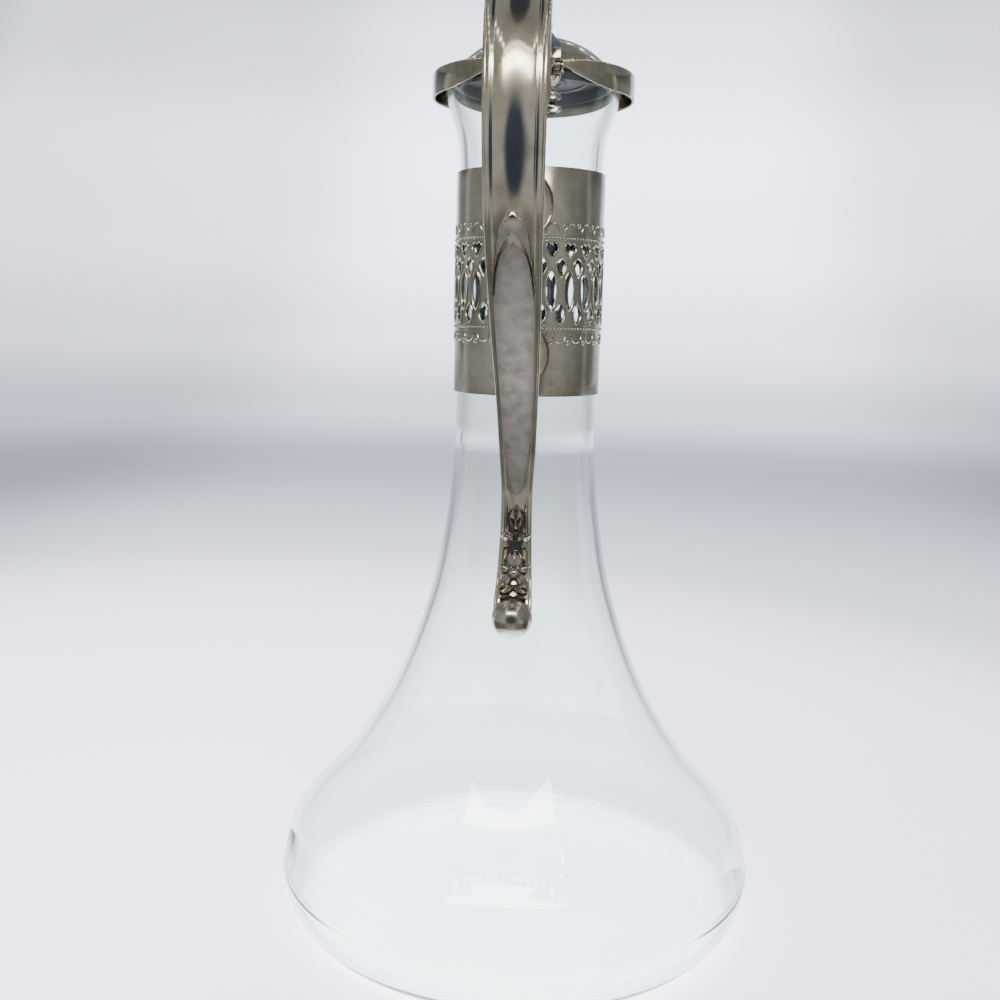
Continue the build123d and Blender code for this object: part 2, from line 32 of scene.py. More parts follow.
bl_info = {
    "name": "Claret Jug",
    "version": (1, 0, 0),
    "blender": (4, 5, 0),
    "location": "View3D > Sidebar > Claret Jug",
    "description": "Builds a glass claret jug with a plated neck band, cast handle and hinged lid",
    "category": "Object",
}

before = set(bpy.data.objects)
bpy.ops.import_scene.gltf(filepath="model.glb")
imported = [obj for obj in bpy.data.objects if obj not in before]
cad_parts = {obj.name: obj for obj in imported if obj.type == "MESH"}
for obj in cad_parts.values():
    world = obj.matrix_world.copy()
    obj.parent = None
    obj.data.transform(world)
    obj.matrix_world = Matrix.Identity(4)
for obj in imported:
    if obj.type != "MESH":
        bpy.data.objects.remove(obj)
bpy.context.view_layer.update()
MM = 0.001
SAME = 1e-7  # points closer than this are one

# --- Glass (radius, height) ---
FOOT_UNDER = [(0.0, 1.6), (20.0, 1.6), (42.0, 0.8), (58.0, 0.0), (64.0, 0.0)]
FOOT_TOE = [(64.0, 0.0), (69.3, 2.2), (73.1, 8.2), (74.6, 16.5)]
SHOULDER = [
    (74.6, 16.5), (71.2, 28.8), (65.4, 36.4), (53.3, 50.0), (39.8, 71.8), (29.0, 100.0),
    (24.0, 124.0), (21.7, 145.0), (21.2, 165.0),
]
FLARE = [(21.2, 230.0), (21.9, 239.3), (24.8, 248.6), (27.0, 255.1)]
LIP_TOP = (25.9, 256.2)
WALL, NECK_WALL, FLOOR = 1.9, 2.2, 3.4
NECK_START, TOE_TOP = 150, 3  # heights
GLASS_STEPS, LID_STEPS, LINER_STEPS = 160, 192, 128  # round the jug's axis

# --- Neck band ---
BAND_RADIUS, BAND_SHEET = 22.2, 0.6
BAND_BOTTOM, BAND_TOP = 165.3, 229.8
REPEATS, FIRST_HEART = 24, 5.5
SEAM_HALF_GAP, SEAM_CLEAR = 0.25, 4  # the second in degrees
EDGE_ROUND, BEND_CUTS = 0.12, 180
HEART = [(0.0, 204.9), (1.15, 206.3), (1.72, 207.6), (1.35, 208.7), (0.6, 208.85), (0.0, 208.45)]
OVAL = [
    (0.0, 190.0), (0.95, 191.6), (1.5, 194.0), (1.65, 195.7), (1.5, 197.4), (0.95, 199.8),
    (0.0, 201.3),
]
UPPER_KITE = [(0.0, 199.3), (0.85, 200.9), (1.5, 202.6), (1.1, 203.9), (0.0, 204.8)]
LOWER_KITE = [(0.0, 186.1), (0.95, 187.4), (1.5, 189.0), (0.9, 190.9), (0.0, 192.2)]
RIM_RADIUS, RIM_WIDER, RIM_TALLER = 0.29, 1.1, 1.035
BEADS_PER_REPEAT = 5
BEAD_ROWS, BEAD_RADIUS = (210.2, 184.8), 0.48
# Little arches, loops and rings: (share of a repeat from the heart, height, half width, rise, ring)
SCROLLS = [
    (0.0, 211.7, -1.9, 2.7, False), (0.5, 183.4, -2.1, -2.6, False),
    (0.5, 213.9, 0.52, 0.52, True), (0.0, 180.9, 0.52, 0.52, True),
]
SCROLL_WIRE, THREAD_WIRE = 0.25, 0.13
THREAD_HEIGHTS = (209.35, 211.0, 184.0, 185.65)
RIM_OUT, BEAD_OUT, THREAD_OUT = 0.02, -0.05, -0.02  # off the band's face

# --- Plates on the band ---
PLATE_HEIGHTS = {"upper": 219.3, "lower": 177.2}
PLATE_HALF_WIDTH, PLATE_HALF_HEIGHT, PLATE_STEPS = 7.8, 10.1, 64
# (share of the outline, millimetres off the band), from the edge to the middle
PLATE_SECTION = [
    (0.975, 0.02), (0.97, 0.3), (1.0, 0.42), (0.995, 0.68), (0.965, 0.82), (0.93, 0.7), (0.9, 0.5),
    (0.87, 0.56), (0.8, 0.82), (0.65, 1.22), (0.45, 1.56), (0.25, 1.74), (0.03, 1.8),
]

# --- Handle: outer face of the strap (out, height, width) ---
STRAP = [
    (32.6, 242.5, 11.5), (35.6, 247.2, 13.8), (38.4, 252.4, 14.0), (40.2, 258.0, 13.6),
    (43.4, 264.0, 14.0), (48.4, 268.4, 14.6), (55.0, 270.3, 15.2), (62.0, 268.6, 15.8),
    (68.2, 263.0, 16.0), (72.2, 253.4, 15.9), (74.0, 241.2, 15.6), (73.7, 228.6, 15.3),
    (70.4, 214.8, 14.9), (64.8, 202.6, 14.3), (56.2, 189.6, 13.6), (47.0, 176.2, 12.7),
    (39.0, 163.4, 11.5), (33.6, 150.4, 10.3), (31.0, 138.0, 8.9), (31.2, 126.0, 9.1),
    (33.6, 115.6, 10.0), (37.2, 108.8, 10.9),
]
WIDEST_HALF = 8.0
# Half of the strap's front where it is widest: (share of the half width, millimetres out of the
# face), a crowned panel and two threads. The relief shrinks with the strap's width.
STRAP_FRONT = [
    (0.0, 0.42), (0.1, 0.38), (0.2, 0.27), (0.3, 0.09), (0.4, -0.14), (0.5, -0.4), (0.58, -0.63),
    (0.63, -0.8), (0.66, -0.9), (0.68, -0.9), (0.7, -0.82), (0.73, -0.8), (0.77, -0.86),
    (0.81, -0.96), (0.85, -1.1), (0.875, -1.22), (0.89, -1.3), (0.91, -1.3), (0.94, -1.38),
    (0.97, -1.54), (1.0, -1.85),
]
STRAP_BACK = [(1.0, -2.45), (0.97, -3.05), (0.9, -3.35), (0.7, -3.4), (0.35, -3.4), (0.0, -3.4)]
PANEL_SHARE = 0.66  # of the half width that the crowned panel takes
SPAN_STEPS = 8  # between two stations of the strap
# The strap's last loops, inside the lower round end: (out, height, width)
STRAP_TUCK = [(38.6, 106.3, 10.9), (39.2, 104.6, 9.4), (39.5, 103.4, 6.0)]
# From the strap's inner end to near the top of the crook, where the distances below start: the
# leaf's tip, its tongue's tip, the hollowed ground of the flower, and the cast ornament
CROOK_TOP = 44.7
LEAF_START, TONGUE_START = 59.3, 68.0
HOLLOW_START, HOLLOW_LENGTH, HOLLOW_DEPTH = 143.0, 7.0, 1.1
# Leaf, and the hollow in it round the tongue's tip: (distance from the leaf's tip, half width)
LEAF = [
    (0.0, 0.05), (1.0, 0.85), (2.4, 2.05), (4.2, 2.97), (5.9, 3.65), (7.9, 4.03), (10.5, 4.35),
    (12.6, 4.6), (16.0, 4.95), (20.0, 5.35), (24.0, 5.6),
]
LEAF_HOLLOW = [
    (6.5, 0.05), (7.1, 0.9), (8.1, 1.8), (9.7, 2.75), (11.3, 3.45), (13.2, 4.05), (15.9, 4.65),
    (24.0, 5.4),
]
TONGUE = [
    (0.0, 0.05), (0.9, 1.25), (1.8, 2.0), (3.1, 2.95), (4.6, 3.6), (8.6, 4.45), (16.0, 5.15),
    (22.0, 5.25), (28.0, 5.1), (35.0, 4.9), (48.0, 4.5), (60.0, 3.9), (66.0, 3.35), (71.0, 2.6),
    (75.0, 1.75), (77.0, 1.05), (77.8, 0.05),
]
LEAF_TOP, TONGUE_TOP, TRENCH = 0.5, 0.72, -0.75
# The leaf's tip: how deep and how long its end dips, the nose's height, place and half length, how
# much of it is bright, and how steep a face belongs to the bevel
TIP_DIP, TIP_LENGTH, NOSE_RISE, NOSE_START, NOSE_HALF = 1.1, 2.4, 0.7, 2.6, 1.7
TIP_BRIGHT, BEVEL_SLOPE = 3.0, 0.22
BALL = (38.0, 103.6, 5.85)
INNER_BALL = (32.2, 238.7, 5.0)
# Cast ornament: (distance down the strap, across, length, width, height, turn in degrees, point).
# A turn of 0 points up the strap, and the point is how sharply the far end narrows.
BUD = [
    (152.6, 0.0, 3.7, 2.2, 1.7, 0, 0.55), (151.3, 0.0, 2.5, 0.95, 2.3, 0, 0.6),
    (153.8, 1.05, 2.5, 0.8, 2.1, 10, 0.4),
]
LEAF_PAIR = [
    (158.2, 2.4, 2.3, 1.5, 1.75, 68, 0.75), (160.0, 2.5, 2.2, 1.1, 1.55, 150, 0.6),
]
STAR = [
    (164.6, 0.0, 3.0, 2.4, 1.7, 0, 0.6), (166.8, 2.1, 2.8, 1.6, 1.65, 72, 0.8),
    (170.4, 2.3, 3.5, 1.6, 1.65, 150, 0.75),
]
STAR_FOOT = [(173.0, 1.9, 2.5, 1.35, 1.65, 118, 0.4), (175.3, 2.2, 2.9, 0.95, 1.5, 82, 0.2)]
EYE = (168.3, 0.0, 1.95, 1.95, 2.8, 0, 0.0)
SMALL_BEADS = (156.9, 159.2)
ORNAMENT_GROUND = -0.75
INNER_BLOOM = [
    (5.5, 0.0, 2.0, 2.0, 1.6, 0, 0.0), (3.0, 0.0, 2.6, 1.2, 1.3, 180, 0.6),
    (4.6, 6.2, 3.6, 1.9, 1.5, 82, 0.5), (8.4, 6.6, 3.4, 1.8, 1.5, 120, 0.5),
    (0.8, 6.0, 3.9, 2.0, 1.5, 96, 0.5), (12.4, 5.8, 2.6, 1.4, 1.3, 130, 0.5),
]

# --- Lid ---
LID_PROFILE = [
    (0.0, 268.6), (6.0, 268.1), (12.0, 266.5), (17.0, 264.1), (21.0, 260.9), (23.3, 258.5),
    (24.4, 258.0), (28.4, 258.0), (29.3, 257.7), (29.7, 257.0), (29.7, 251.3), (29.55, 250.8),
    (28.95, 250.8), (28.8, 251.3), (28.8, 257.1), (23.1, 257.1), (20.4, 259.9), (16.5, 263.1),
    (11.7, 265.5), (5.9, 267.1), (0.0, 267.7),
]
ARCH_HALF_WIDTH, ARCH_HEIGHT = 24.5, 6.2
ARCH_CUT = (-15, -25)  # where the cut starts along Y, and how far it goes from there
SKIRT_BOTTOM = 250.8
LINER_PROFILE = [
    (0.0, 257.1), (28.6, 257.1), (28.6, 256.4), (22.2, 256.4), (22.2, 253.7), (21.95, 253.4),
    (21.55, 253.4), (21.3, 253.7), (21.3, 256.4), (16.6, 256.4), (16.6, 256.05), (16.2, 255.8),
    (15.4, 255.8), (15.0, 256.05), (15.0, 256.4), (9.6, 256.4), (9.6, 256.05), (9.2, 255.8),
    (8.4, 255.8), (8.0, 256.05), (8.0, 256.4), (0.0, 256.4),
]

# --- Finishes ---
# (polished colour, tarnished colour, the roughness of each, patches in millimetres, how far they
# tarnish, hairlines in millimetres)
METALS = {
    # cast nickel silver, plated and hand-polished; its colours are in the settings
    "silver_plate_cast": ("", "", 0.09, 0.28, 9.0, 0.5, 0.0),
    # rolled sheet, plated: flatter and hazier than the casting
    "silver_plate_rolled": ("#A8A18D", "#655D4A", 0.17, 0.3, 14.0, 0.6, 0.9),
    # lid spun on a lathe, plated, bright on the dome
    "silver_plate_spun": ("#A59E88", "#625A44", 0.1, 0.24, 12.0, 0.6, 0.0),
    # the leaf's flat face: plate worn through to a matt, brownish grey
    "silver_plate_worn": ("#9F9689", "#7E7468", 0.46, 0.58, 3.2, 0.7, 1.1),
    # balls and flowers at the strap's ends: grime that a cloth never reaches dulls the plate
    "silver_plate_grimed": ("#B3AB99", "#4F493C", 0.16, 0.34, 3.4, 0.6, 0.0),
    # raised lines of the band, rubbed brighter than the sheet between them
    "silver_plate_rubbed": ("#D2CCBA", "#857C66", 0.12, 0.24, 8.0, 0.4, 0.0),
    # plate painted blue-black and dull: painted shade inside the band, and a painted reflection of
    # the dark room on the thumb plate
    "silver_plate_painted_shade": ("#2F333D", "#1E2129", 0.22, 0.38, 8.0, 0.8, 0.0),
    # inside of the lid, never polished, so it dulls what it mirrors; its dark colour is painted
    # shade under the lid
    "plate_hazy_painted_shade": ("#3D3F42", "#242527", 0.36, 0.48, 10.0, 0.8, 0.0),
    # screws, turned from brass: the only yellow on the jug
    "brass_turned": ("#B99A5B", "#6B5530", 0.25, 0.4, 4.0, 0.6, 0.0),
}
RECESS, RIPPLE = 0.9, 1.6  # how far the grime and the painted shade reach out of a corner, and the size of the ripple
MIX_FIRST, MIX_SECOND, MIX_RESULT = 6, 7, 2  # the colour sockets of a Mix node

# --- Surroundings, in metres ---
# The bend from the table up into the wall, its turn in degrees, and the table's clearance
BEND_RADIUS, BEND_TURN, FLOOR_DROP, FLOOR_STEPS = 1.2, 80, 0.0002, 96
# (height, brightness as a share of the wall's glow)
WALL_LEVELS = [
    (0.0, 0.0), (0.05, 0.26), (0.15, 0.6), (0.32, 0.92), (0.5, 1.0), (0.72, 0.7), (1.0, 0.3),
]
WALL_GLOW = 4.2
# (distance from the table's middle, lightness: a painted pool of light, lighter in the middle), and
# the same to a side, as a share of its reach: dark screens there, out of the camera's sight, draw
# the glass's outline
TABLE_SHIFT, SIDE_REACH = 0.14, 2.0
FLOOR_LEVELS = [(0.0, 1.0), (0.36, 0.95), (0.58, 0.66), (0.95, 0.6)]
SIDE_LEVELS = [(0.0, 1.0), (0.15, 1.0), (0.31, 0.6), (0.52, 0.52), (0.62, 0.12), (1.0, 0.1)]
# The dark room in front: (azimuth from the front in degrees, brightness)
ROOM_LEVELS = [
    (-112, 1.3), (-98, 0.6), (-74, 0.65), (-50, 0.8), (-28, 0.72), (-12, 0.62), (12, 0.62),
    (28, 0.8), (50, 0.85), (74, 0.55), (98, 0.36), (106, 1.3),
]
# The doorway in its middle, an ellipse that reaches down onto the table: half its width in degrees,
# its middle height and half its height, and (share of the way to its edge, brightness)
DOORWAY = (32, 0.15, 0.235)
DOORWAY_LEVELS = [(0.0, 0.56), (0.7, 0.6), (0.84, 0.85, "#C3CCE4"), (1.0, 1.0, "#FFFFFF")]
ROOM_RADIUS, ROOM_GLOW, ROOM_LIFT, ROOM_TOP, ROOM_STEPS = 0.5, 2.0, 0.0005, (0.39, 0.43), 64
# Where the room's dark begins on the table, where the table takes over from the wall (as a height
# below zero), and what it is multiplied by there, by azimuth
TABLE_EDGE, TABLE_FOLD, TABLE_GAIN = (0.08, 0.13), (-0.14, -0.04), 1.2
TABLE_SHADES = [(-95, 0.4), (-32, 0.45), (-12, 1.2), (12, 1.2), (32, 0.45), (95, 0.4)]
# The frame of small lamps: half its width, its front and back, and its height
RING_WIDE, RING_DEEP, RING_UP = 0.19, (-0.33, 0.2), 0.43
DOT_RADIUS, DOT_GLOW = 0.005, 22.0
# The strip along the frame's front: its tilt in degrees, and how far it is ahead of it and below it
STRIP_SIZE, STRIP_TILT, STRIP_OFFSET, STRIP_GLOW = (0.42, 0.045), 50, (0.01, 0.045), 18.0
OPENING_RADIUS, OPENING_PLACE = 0.15, (0, -0.25, 0.6)  # a dark opening above the lamps
LAMP_SIZE, LAMP_PLACE = 0.8, (-0.15, 0.0, 0.85)

# --- Camera, from the photograph ---
LENS_PIXELS, IMAGE_PIXELS, SENSOR = 1124.0, 1000.0, 36.0
CAMERA_OUT, CAMERA_HEIGHT = 347.0, 188.0
CAMERA_TURNS = (3.5, 9.28, 1.28, -1.19)  # azimuth, pitch, roll and pan in degrees


# === Colours and materials ===
def srgb(code, alpha=1.0):
    """A hex colour as linear red, green, blue and alpha."""
    channels = [int(code[i:i + 2], 16) / 255 for i in (1, 3, 5)]
    linear = [c / 12.92 if c <= 0.04045 else ((c + 0.055) / 1.055) ** 2.4 for c in channels]
    return (*linear, alpha)


def add_node(tree, kind, settings=None, *sources, **links):
    """Adds a node, sets its properties and sockets, links the sources to its first sockets in
    order, and links the sockets that are given by name."""
    made = tree.nodes.new("ShaderNode" + kind)
    for key, value in (settings or {}).items():
        if isinstance(key, str) and hasattr(made, key):
            setattr(made, key, value)
        else:
            made.inputs[key].default_value = value
    named = {socket.replace("_", " "): source for socket, source in links.items()}
    for socket, source in (*enumerate(sources), *named.items()):
        tree.links.new(source, made.inputs[socket])
    return made


def object_place(tree):
    """Where each point of a piece is, in metres."""
    return add_node(tree, "TexCoord").outputs["Object"]


def noise(tree, place, size, detail, roughness=0.5):
    """Cloudy patches of about a size in millimetres."""
    settings = {"Scale": 1 / (size * MM), "Detail": detail, "Roughness": roughness}
    return add_node(tree, "TexNoise", settings, place).outputs["Fac"]


def ranged(tree, value, low, high, to_low, to_high, **settings):
    """A value taken from one range to another, and held inside it."""
    settings.update({"From Min": low, "From Max": high, "To Min": to_low, "To Max": to_high})
    return add_node(tree, "MapRange", settings, value).outputs[0]


def bumped(tree, height, strength, deep):
    """A normal that follows a pattern, so many millimetres deep."""
    settings = {"Strength": strength, "Distance": deep * MM}
    return add_node(tree, "Bump", settings, Height=height).outputs[0]


def mapped(tree, place, **settings):
    """A place shifted, turned or stretched."""
    settings = {key.title(): value for key, value in settings.items()}
    return add_node(tree, "Mapping", settings, place).outputs[0]


def reckoned(tree, operation, *sources):
    """A number worked out from one or two others."""
    return add_node(tree, "Math", {"operation": operation}, *sources).outputs[0]


def length(tree, place):
    return add_node(tree, "VectorMath", {"operation": "LENGTH"}, place).outputs["Value"]


def both_levels(tree, *levels):
    """Two levels multiplied."""
    product = add_node(tree, "VectorMath", {"operation": "MULTIPLY"}, *levels)
    return product.outputs["Vector"]


def new_material(name):
    """An empty node material and its tree."""
    material = bpy.data.materials.new(name)
    material.use_nodes = True
    material.node_tree.nodes.clear()
    return material, material.node_tree


def finish_material(material, tree, surface, volume=None):
    end = add_node(tree, "OutputMaterial", Surface=surface)
    if volume is not None:
        tree.links.new(volume, end.inputs["Volume"])
    return material


def plate_material(name, bright, tarnish, shine, haze, patch, ageing, hairline):
    """Silver plate: a mirror under a thin, patchy tarnish that browns and blurs it, darkest in the
    recesses, from tarnish that a cloth can't reach and from painted shade, with hairline scratches
    from polishing."""
    material, tree = new_material(name)
    place = object_place(tree)
    spread = ranged(tree, noise(tree, place, patch, 5.0, 0.6), 0.38, 0.68, 0.0, ageing)
    # painted shade as well as tarnish: where ambient occlusion finds a recess, the base colour
    # darkens
    recess = add_node(tree, "AmbientOcclusion", {"Distance": RECESS * MM, "samples": 8})
    grime_and_shade = ranged(tree, recess.outputs["AO"], 0.35, 0.9, 0.85, 0.0)
    total = reckoned(tree, "MAXIMUM", spread, grime_and_shade)
    ends = {"data_type": "RGBA", MIX_FIRST: srgb(bright), MIX_SECOND: srgb(tarnish)}
    colour = add_node(tree, "Mix", ends, total)
    # hairlines run round the jug and are a fourteenth as wide as they are long, still coarser than
    # real ones so that they show; the other finishes have a faint ripple instead
    stretched = mapped(tree, place, scale=(1.0, 1.0, 14.0 if hairline else 1.0))
    scratches = noise(tree, stretched, hairline or RIPPLE, 3.0)
    metal = add_node(
        tree, "BsdfPrincipled", {"Metallic": 1.0},
        Base_Color=colour.outputs[MIX_RESULT],
        Roughness=ranged(tree, total, 0.0, 1.0, shine, haze),
        Normal=bumped(tree, scratches, 0.045, 0.06),
    )
    return finish_material(material, tree, metal.outputs[0])


def glass_material():
    """Soda-lime glass, mouth-blown: clear face-on, grey-green along the wall."""
    material, tree = new_material("soda_lime_glass_blown")
    waves = noise(tree, object_place(tree), 38.0, 1.0)
    glass = add_node(
        tree, "BsdfPrincipled",
        {"Base Color": srgb("#FBFEFC"), "Roughness": 0.0, "IOR": 1.52, "Transmission Weight": 1.0},
        Normal=bumped(tree, waves, 0.12, 0.35),
    )
    tint = {"Color": srgb("#B4C9BE"), "Density": 14.0}
    green = add_node(tree, "VolumeAbsorption", tint)
    return finish_material(material, tree, glass.outputs[0], green.outputs[0])


def packing_material():
    """Plaster of Paris, poured: chalky, matt and slightly yellowed."""
    material, tree = new_material("plaster_packing_poured")
    grain = noise(tree, object_place(tree), 0.9, 4.0)
    ramp = add_node(tree, "ValToRGB", None, grain)
    for point, code in zip(ramp.color_ramp.elements, ("#8F8878", "#C9C1AD")):
        point.color = srgb(code)
    plaster = add_node(
        tree, "BsdfPrincipled", {"Roughness": 0.85},
        Base_Color=ramp.outputs[0], Normal=bumped(tree, grain, 0.3, 0.1),
    )
    return finish_material(material, tree, plaster.outputs[0])


def light_levels(tree, stops, tint, value):
    """A tint, darker or lighter by place: (place from 0 to 1, level, own tint if any) for each."""
    ramp = add_node(tree, "ValToRGB", None, value)
    ramp.color_ramp.interpolation = "EASE"
    points = ramp.color_ramp.elements
    while len(points) < len(stops):
        points.new(0.99)
    for point, (place, level, *own) in zip(points, stops):
        point.position = place
        point.color = (*(channel * level for channel in srgb(own[0] if own else tint)[:3]), 1)
    return ramp.outputs[0]


def tent_material():
    """A white table, painted lighter in its middle and darker further out as a painted pool of
    light, and a tent wall that is lit from outside.
    """
    material, tree = new_material("white_tent_cloth")
    place = object_place(tree)
    parts = add_node(tree, "SeparateXYZ", None, place)
    glow = light_levels(tree, WALL_LEVELS, "#E6ECFC", parts.outputs["Z"])
    shifted = mapped(tree, place, location=(TABLE_SHIFT, 0, 0), scale=(1, 1, 0))
    # painted pool of light: the table's colour is lighter in its middle and darker towards the bend
    painted_pool = light_levels(tree, FLOOR_LEVELS, "#EAF0FF", length(tree, shifted))
    aside = reckoned(tree, "ABSOLUTE", parts.outputs["X"])
    dimmer = light_levels(
        tree, SIDE_LEVELS, "#FFFFFF", ranged(tree, aside, 0.0, SIDE_REACH, 0.0, 1.0))
    cloth = add_node(
        tree, "BsdfPrincipled", {"Roughness": 0.85, "Emission Strength": WALL_GLOW},
        Base_Color=both_levels(tree, painted_pool, dimmer), Emission_Color=both_levels(tree, glow, dimmer),
    )
    return finish_material(material, tree, cloth.outputs[0])


def by_azimuth(rows, brightest):
    """Stops for the radial gradient, whose middle is the front."""
    return [(0.5 + azimuth / 360, level / brightest) for azimuth, level in rows]


def dark_room_material():
    """The unlit room in front, seen only in the metal: navy straight ahead, greyer to the sides."""
    material, tree = new_material("dark_room")
    place = object_place(tree)
    # a quarter turn brings the front, -Y, to the middle of the radial gradient
    turned_place = mapped(tree, place, rotation=(0, 0, pi / 2))
    radial = add_node(tree, "TexGradient", {"gradient_type": "RADIAL"}, turned_place)
    around = radial.outputs["Fac"]
    walls = light_levels(tree, by_azimuth(ROOM_LEVELS, ROOM_GLOW), "#E6EBF6", around)
    height = add_node(tree, "SeparateXYZ", None, place).outputs["Z"]
    out = length(tree, mapped(tree, place, scale=(1, 1, 0)))
    # the table counts as the wall's foot, laid flat: its height there is below zero
    wide, middle, tall = DOORWAY
    unrolled = reckoned(tree, "ADD", height, out)
    on_wall = add_node(tree, "CombineXYZ", None, around, unrolled)
    from_middle = mapped(
        tree, on_wall.outputs[0],
        location=(-180 / wide, -(middle + ROOM_RADIUS) / tall, 0),
        scale=(360 / wide, 1 / tall, 1),
    )
    doorway = light_levels(tree, DOORWAY_LEVELS, "#8190BC", length(tree, from_middle))
    low, high = TABLE_FOLD
    on_table = ranged(tree, unrolled, ROOM_RADIUS + low, ROOM_RADIUS + high, 1.0, 0.0)
    shades = light_levels(tree, by_azimuth(TABLE_SHADES, TABLE_GAIN), "#FFFFFF", around)
    unshaded = (1 / TABLE_GAIN, 1 / TABLE_GAIN, 1 / TABLE_GAIN, 1)
    table = add_node(tree, "Mix", {"data_type": "RGBA", MIX_FIRST: unshaded}, on_table)
    tree.links.new(shades, table.inputs[MIX_SECOND])
    lit = both_levels(tree, both_levels(tree, walls, doorway), table.outputs[MIX_RESULT])
    glow = add_node(tree, "Emission", {"Strength": ROOM_GLOW * TABLE_GAIN}, lit)
    clear = add_node(tree, "BsdfTransparent")
    fades = [
        ranged(tree, value, start, end, 0.0, 1.0, interpolation_type="SMOOTHSTEP")
        for value, (start, end) in ((height, ROOM_TOP), (out, TABLE_EDGE[::-1]))
    ]
    both = add_node(
        tree, "MixShader", None, reckoned(tree, "MAXIMUM", *fades), glow.outputs[0],
        clear.outputs[0],
    )
    return finish_material(material, tree, both.outputs[0])


def lamp_material(name, code, glow):
    """The lit face of a lamp, or a hole into the dark."""
    material, tree = new_material(name)
    face = add_node(tree, "Emission", {"Color": srgb(code), "Strength": glow})
    return finish_material(material, tree, face.outputs[0])


def material(name):
    """The finished material of that name, made once."""
    if name in bpy.data.materials:
        return bpy.data.materials[name]
    if name not in METALS:
        return {
            "soda_lime_glass_blown": glass_material, "plaster_packing_poured": packing_material,
        }[name]()
    sizes = bpy.context.scene.claret_jug
    bright, tarnish, *rest = METALS[name]
    return plate_material(
        name, bright or sizes.plate_colour_code, tarnish or sizes.tarnish_colour_code, *rest)


# === Shapes ===
def ways_along(points):
    """The direction of a line at each of its points."""
    ends = points[:1] + points + points[-1:]
    return [(after - before).normalized() for before, after in zip(ends, ends[2:])]


def flowing(points, steps):
    """A smooth line through the points, with steps parts between each two of them."""
    points = [Vector(p) for p in points]
    ways = ways_along(points)
    line = [points[0]]
    for i in range(len(points) - 1):
        reach = (points[i + 1] - points[i]).length / 3
        line += interpolate_bezier(
            points[i], points[i] + ways[i] * reach, points[i + 1] - ways[i + 1] * reach,
            points[i + 1], steps + 1,
        )[1:]
    return line


def new_mesh(bm, name):
    """Turns a bmesh into a mesh, and lets the bmesh go."""
    mesh = bpy.data.meshes.new(name)
    bm.to_mesh(mesh)
    bm.free()
    return mesh


def new_object(name, data):
    """An object in the scene, at the origin."""
    thing = bpy.data.objects.new(name, data)
    bpy.context.scene.collection.objects.link(thing)
    return thing


def mesh_piece(bm, name, finish, body="jug", nodes=(), angle=35.0, outward=True):
    """Turns a bmesh into a piece of the object: normals out, smooth, finished, riding on its body,
    and standing for the nodes."""
    bmesh.ops.remove_doubles(bm, verts=bm.verts, dist=SAME)
    if outward:
        bmesh.ops.recalc_face_normals(bm, faces=bm.faces)
    mesh = new_mesh(bm, name)
    if not mesh.polygons:
        raise RuntimeError(f"{name} has no faces")
    mesh.shade_smooth()
    mesh.set_sharp_from_angle(angle=radians(angle))
    mesh.materials.append(material(finish))
    piece = new_object(name, mesh)
    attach(piece, body)
    if nodes:
        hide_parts(*nodes)
    return piece


def turned(profile, steps, start=0.0, angle=2 * pi):
    """Spins a (radius, height) profile in millimetres round the jug's axis, from +X on."""
    bm = bmesh.new()
    east, north = cos(start) * MM, sin(start) * MM
    line = [bm.verts.new((p[0] * east, p[0] * north, p[1] * MM)) for p in profile]
    edges = [bm.edges.new(pair) for pair in zip(line, line[1:])]
    bmesh.ops.spin(
        bm, geom=line + edges, cent=(0, 0, 0), axis=(0, 0, 1), angle=angle, steps=steps,
        use_merge=angle == 2 * pi,
    )
    bmesh.ops.remove_doubles(bm, verts=bm.verts, dist=SAME)
    return bm


def cad_copy(node, name, finish, body="jug", bevel=0.0):
    """A copy of a CAD node with its triangles merged, its edges broken and its own finish."""
    bm = bmesh.new()
    bm.from_mesh(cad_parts[node].data)
    bmesh.ops.remove_doubles(bm, verts=bm.verts, dist=10 * SAME)
    bmesh.ops.dissolve_limit(
        bm, angle_limit=radians(0.4), verts=bm.verts, edges=bm.edges, use_dissolve_boundaries=False
    )
    piece = mesh_piece(bm, name, finish, body, (node,), outward=False)
    if bevel:
        edge = piece.modifiers.new("broken_edge", "BEVEL")
        edge.width = bevel * MM
        edge.segments = 2
        edge.limit_method = "ANGLE"
        edge.angle_limit = radians(40)


def on_band(across, height, proud=0.0, azimuth=0.0):
    """A point on the band's outer face: millimetres across from an azimuth, and up."""
    radius = BAND_RADIUS + proud
    angle = across / BAND_RADIUS + radians(azimuth)
    return Vector((radius * sin(angle), -radius * cos(angle), height)) * MM


def strap_stations():
    """Planes along the strap: (point on its outer face, way out of it, half width, distance)."""
    line = flowing(STRAP, SPAN_STEPS)
    points = [here.xy for here in line]
    stations, run = [], 0.0
    for i, way in enumerate(ways_along(points)):
        if i:
            run += (points[i] - points[i - 1]).length
        # square to the strap: towards the neck on the inner branch, up at the crook
        stations.append((points[i], Vector((-way.y, way.x)), line[i].z / 2, run))
    return stations


def on_strap(station, across, proud):
    """A point at a station of the strap, in metres."""
    point, out_of_face = station[:2]
    flat = point + out_of_face * proud
    return Vector((across, -flat.x, flat.y)) * MM


def station_at(stations, run):
    """The strap's plane at a distance along it, between two of its stations."""
    for low, high in zip(stations, stations[1:]):
        if high[3] >= run:
            share = (run - low[3]) / (high[3] - low[3])
            return (
                low[0].lerp(high[0], share), low[1].lerp(high[1], share).normalized(),
                low[2] + (high[2] - low[2]) * share, run,
            )
    return stations[-1]


def mirrored_loop(station, half):
    """A closed loop at a station from the right half of its section, edge first."""
    both = list(half) + [(-x, y) for x, y in reversed(half) if x > 0]
    return [on_strap(station, x, y) for x, y in both]


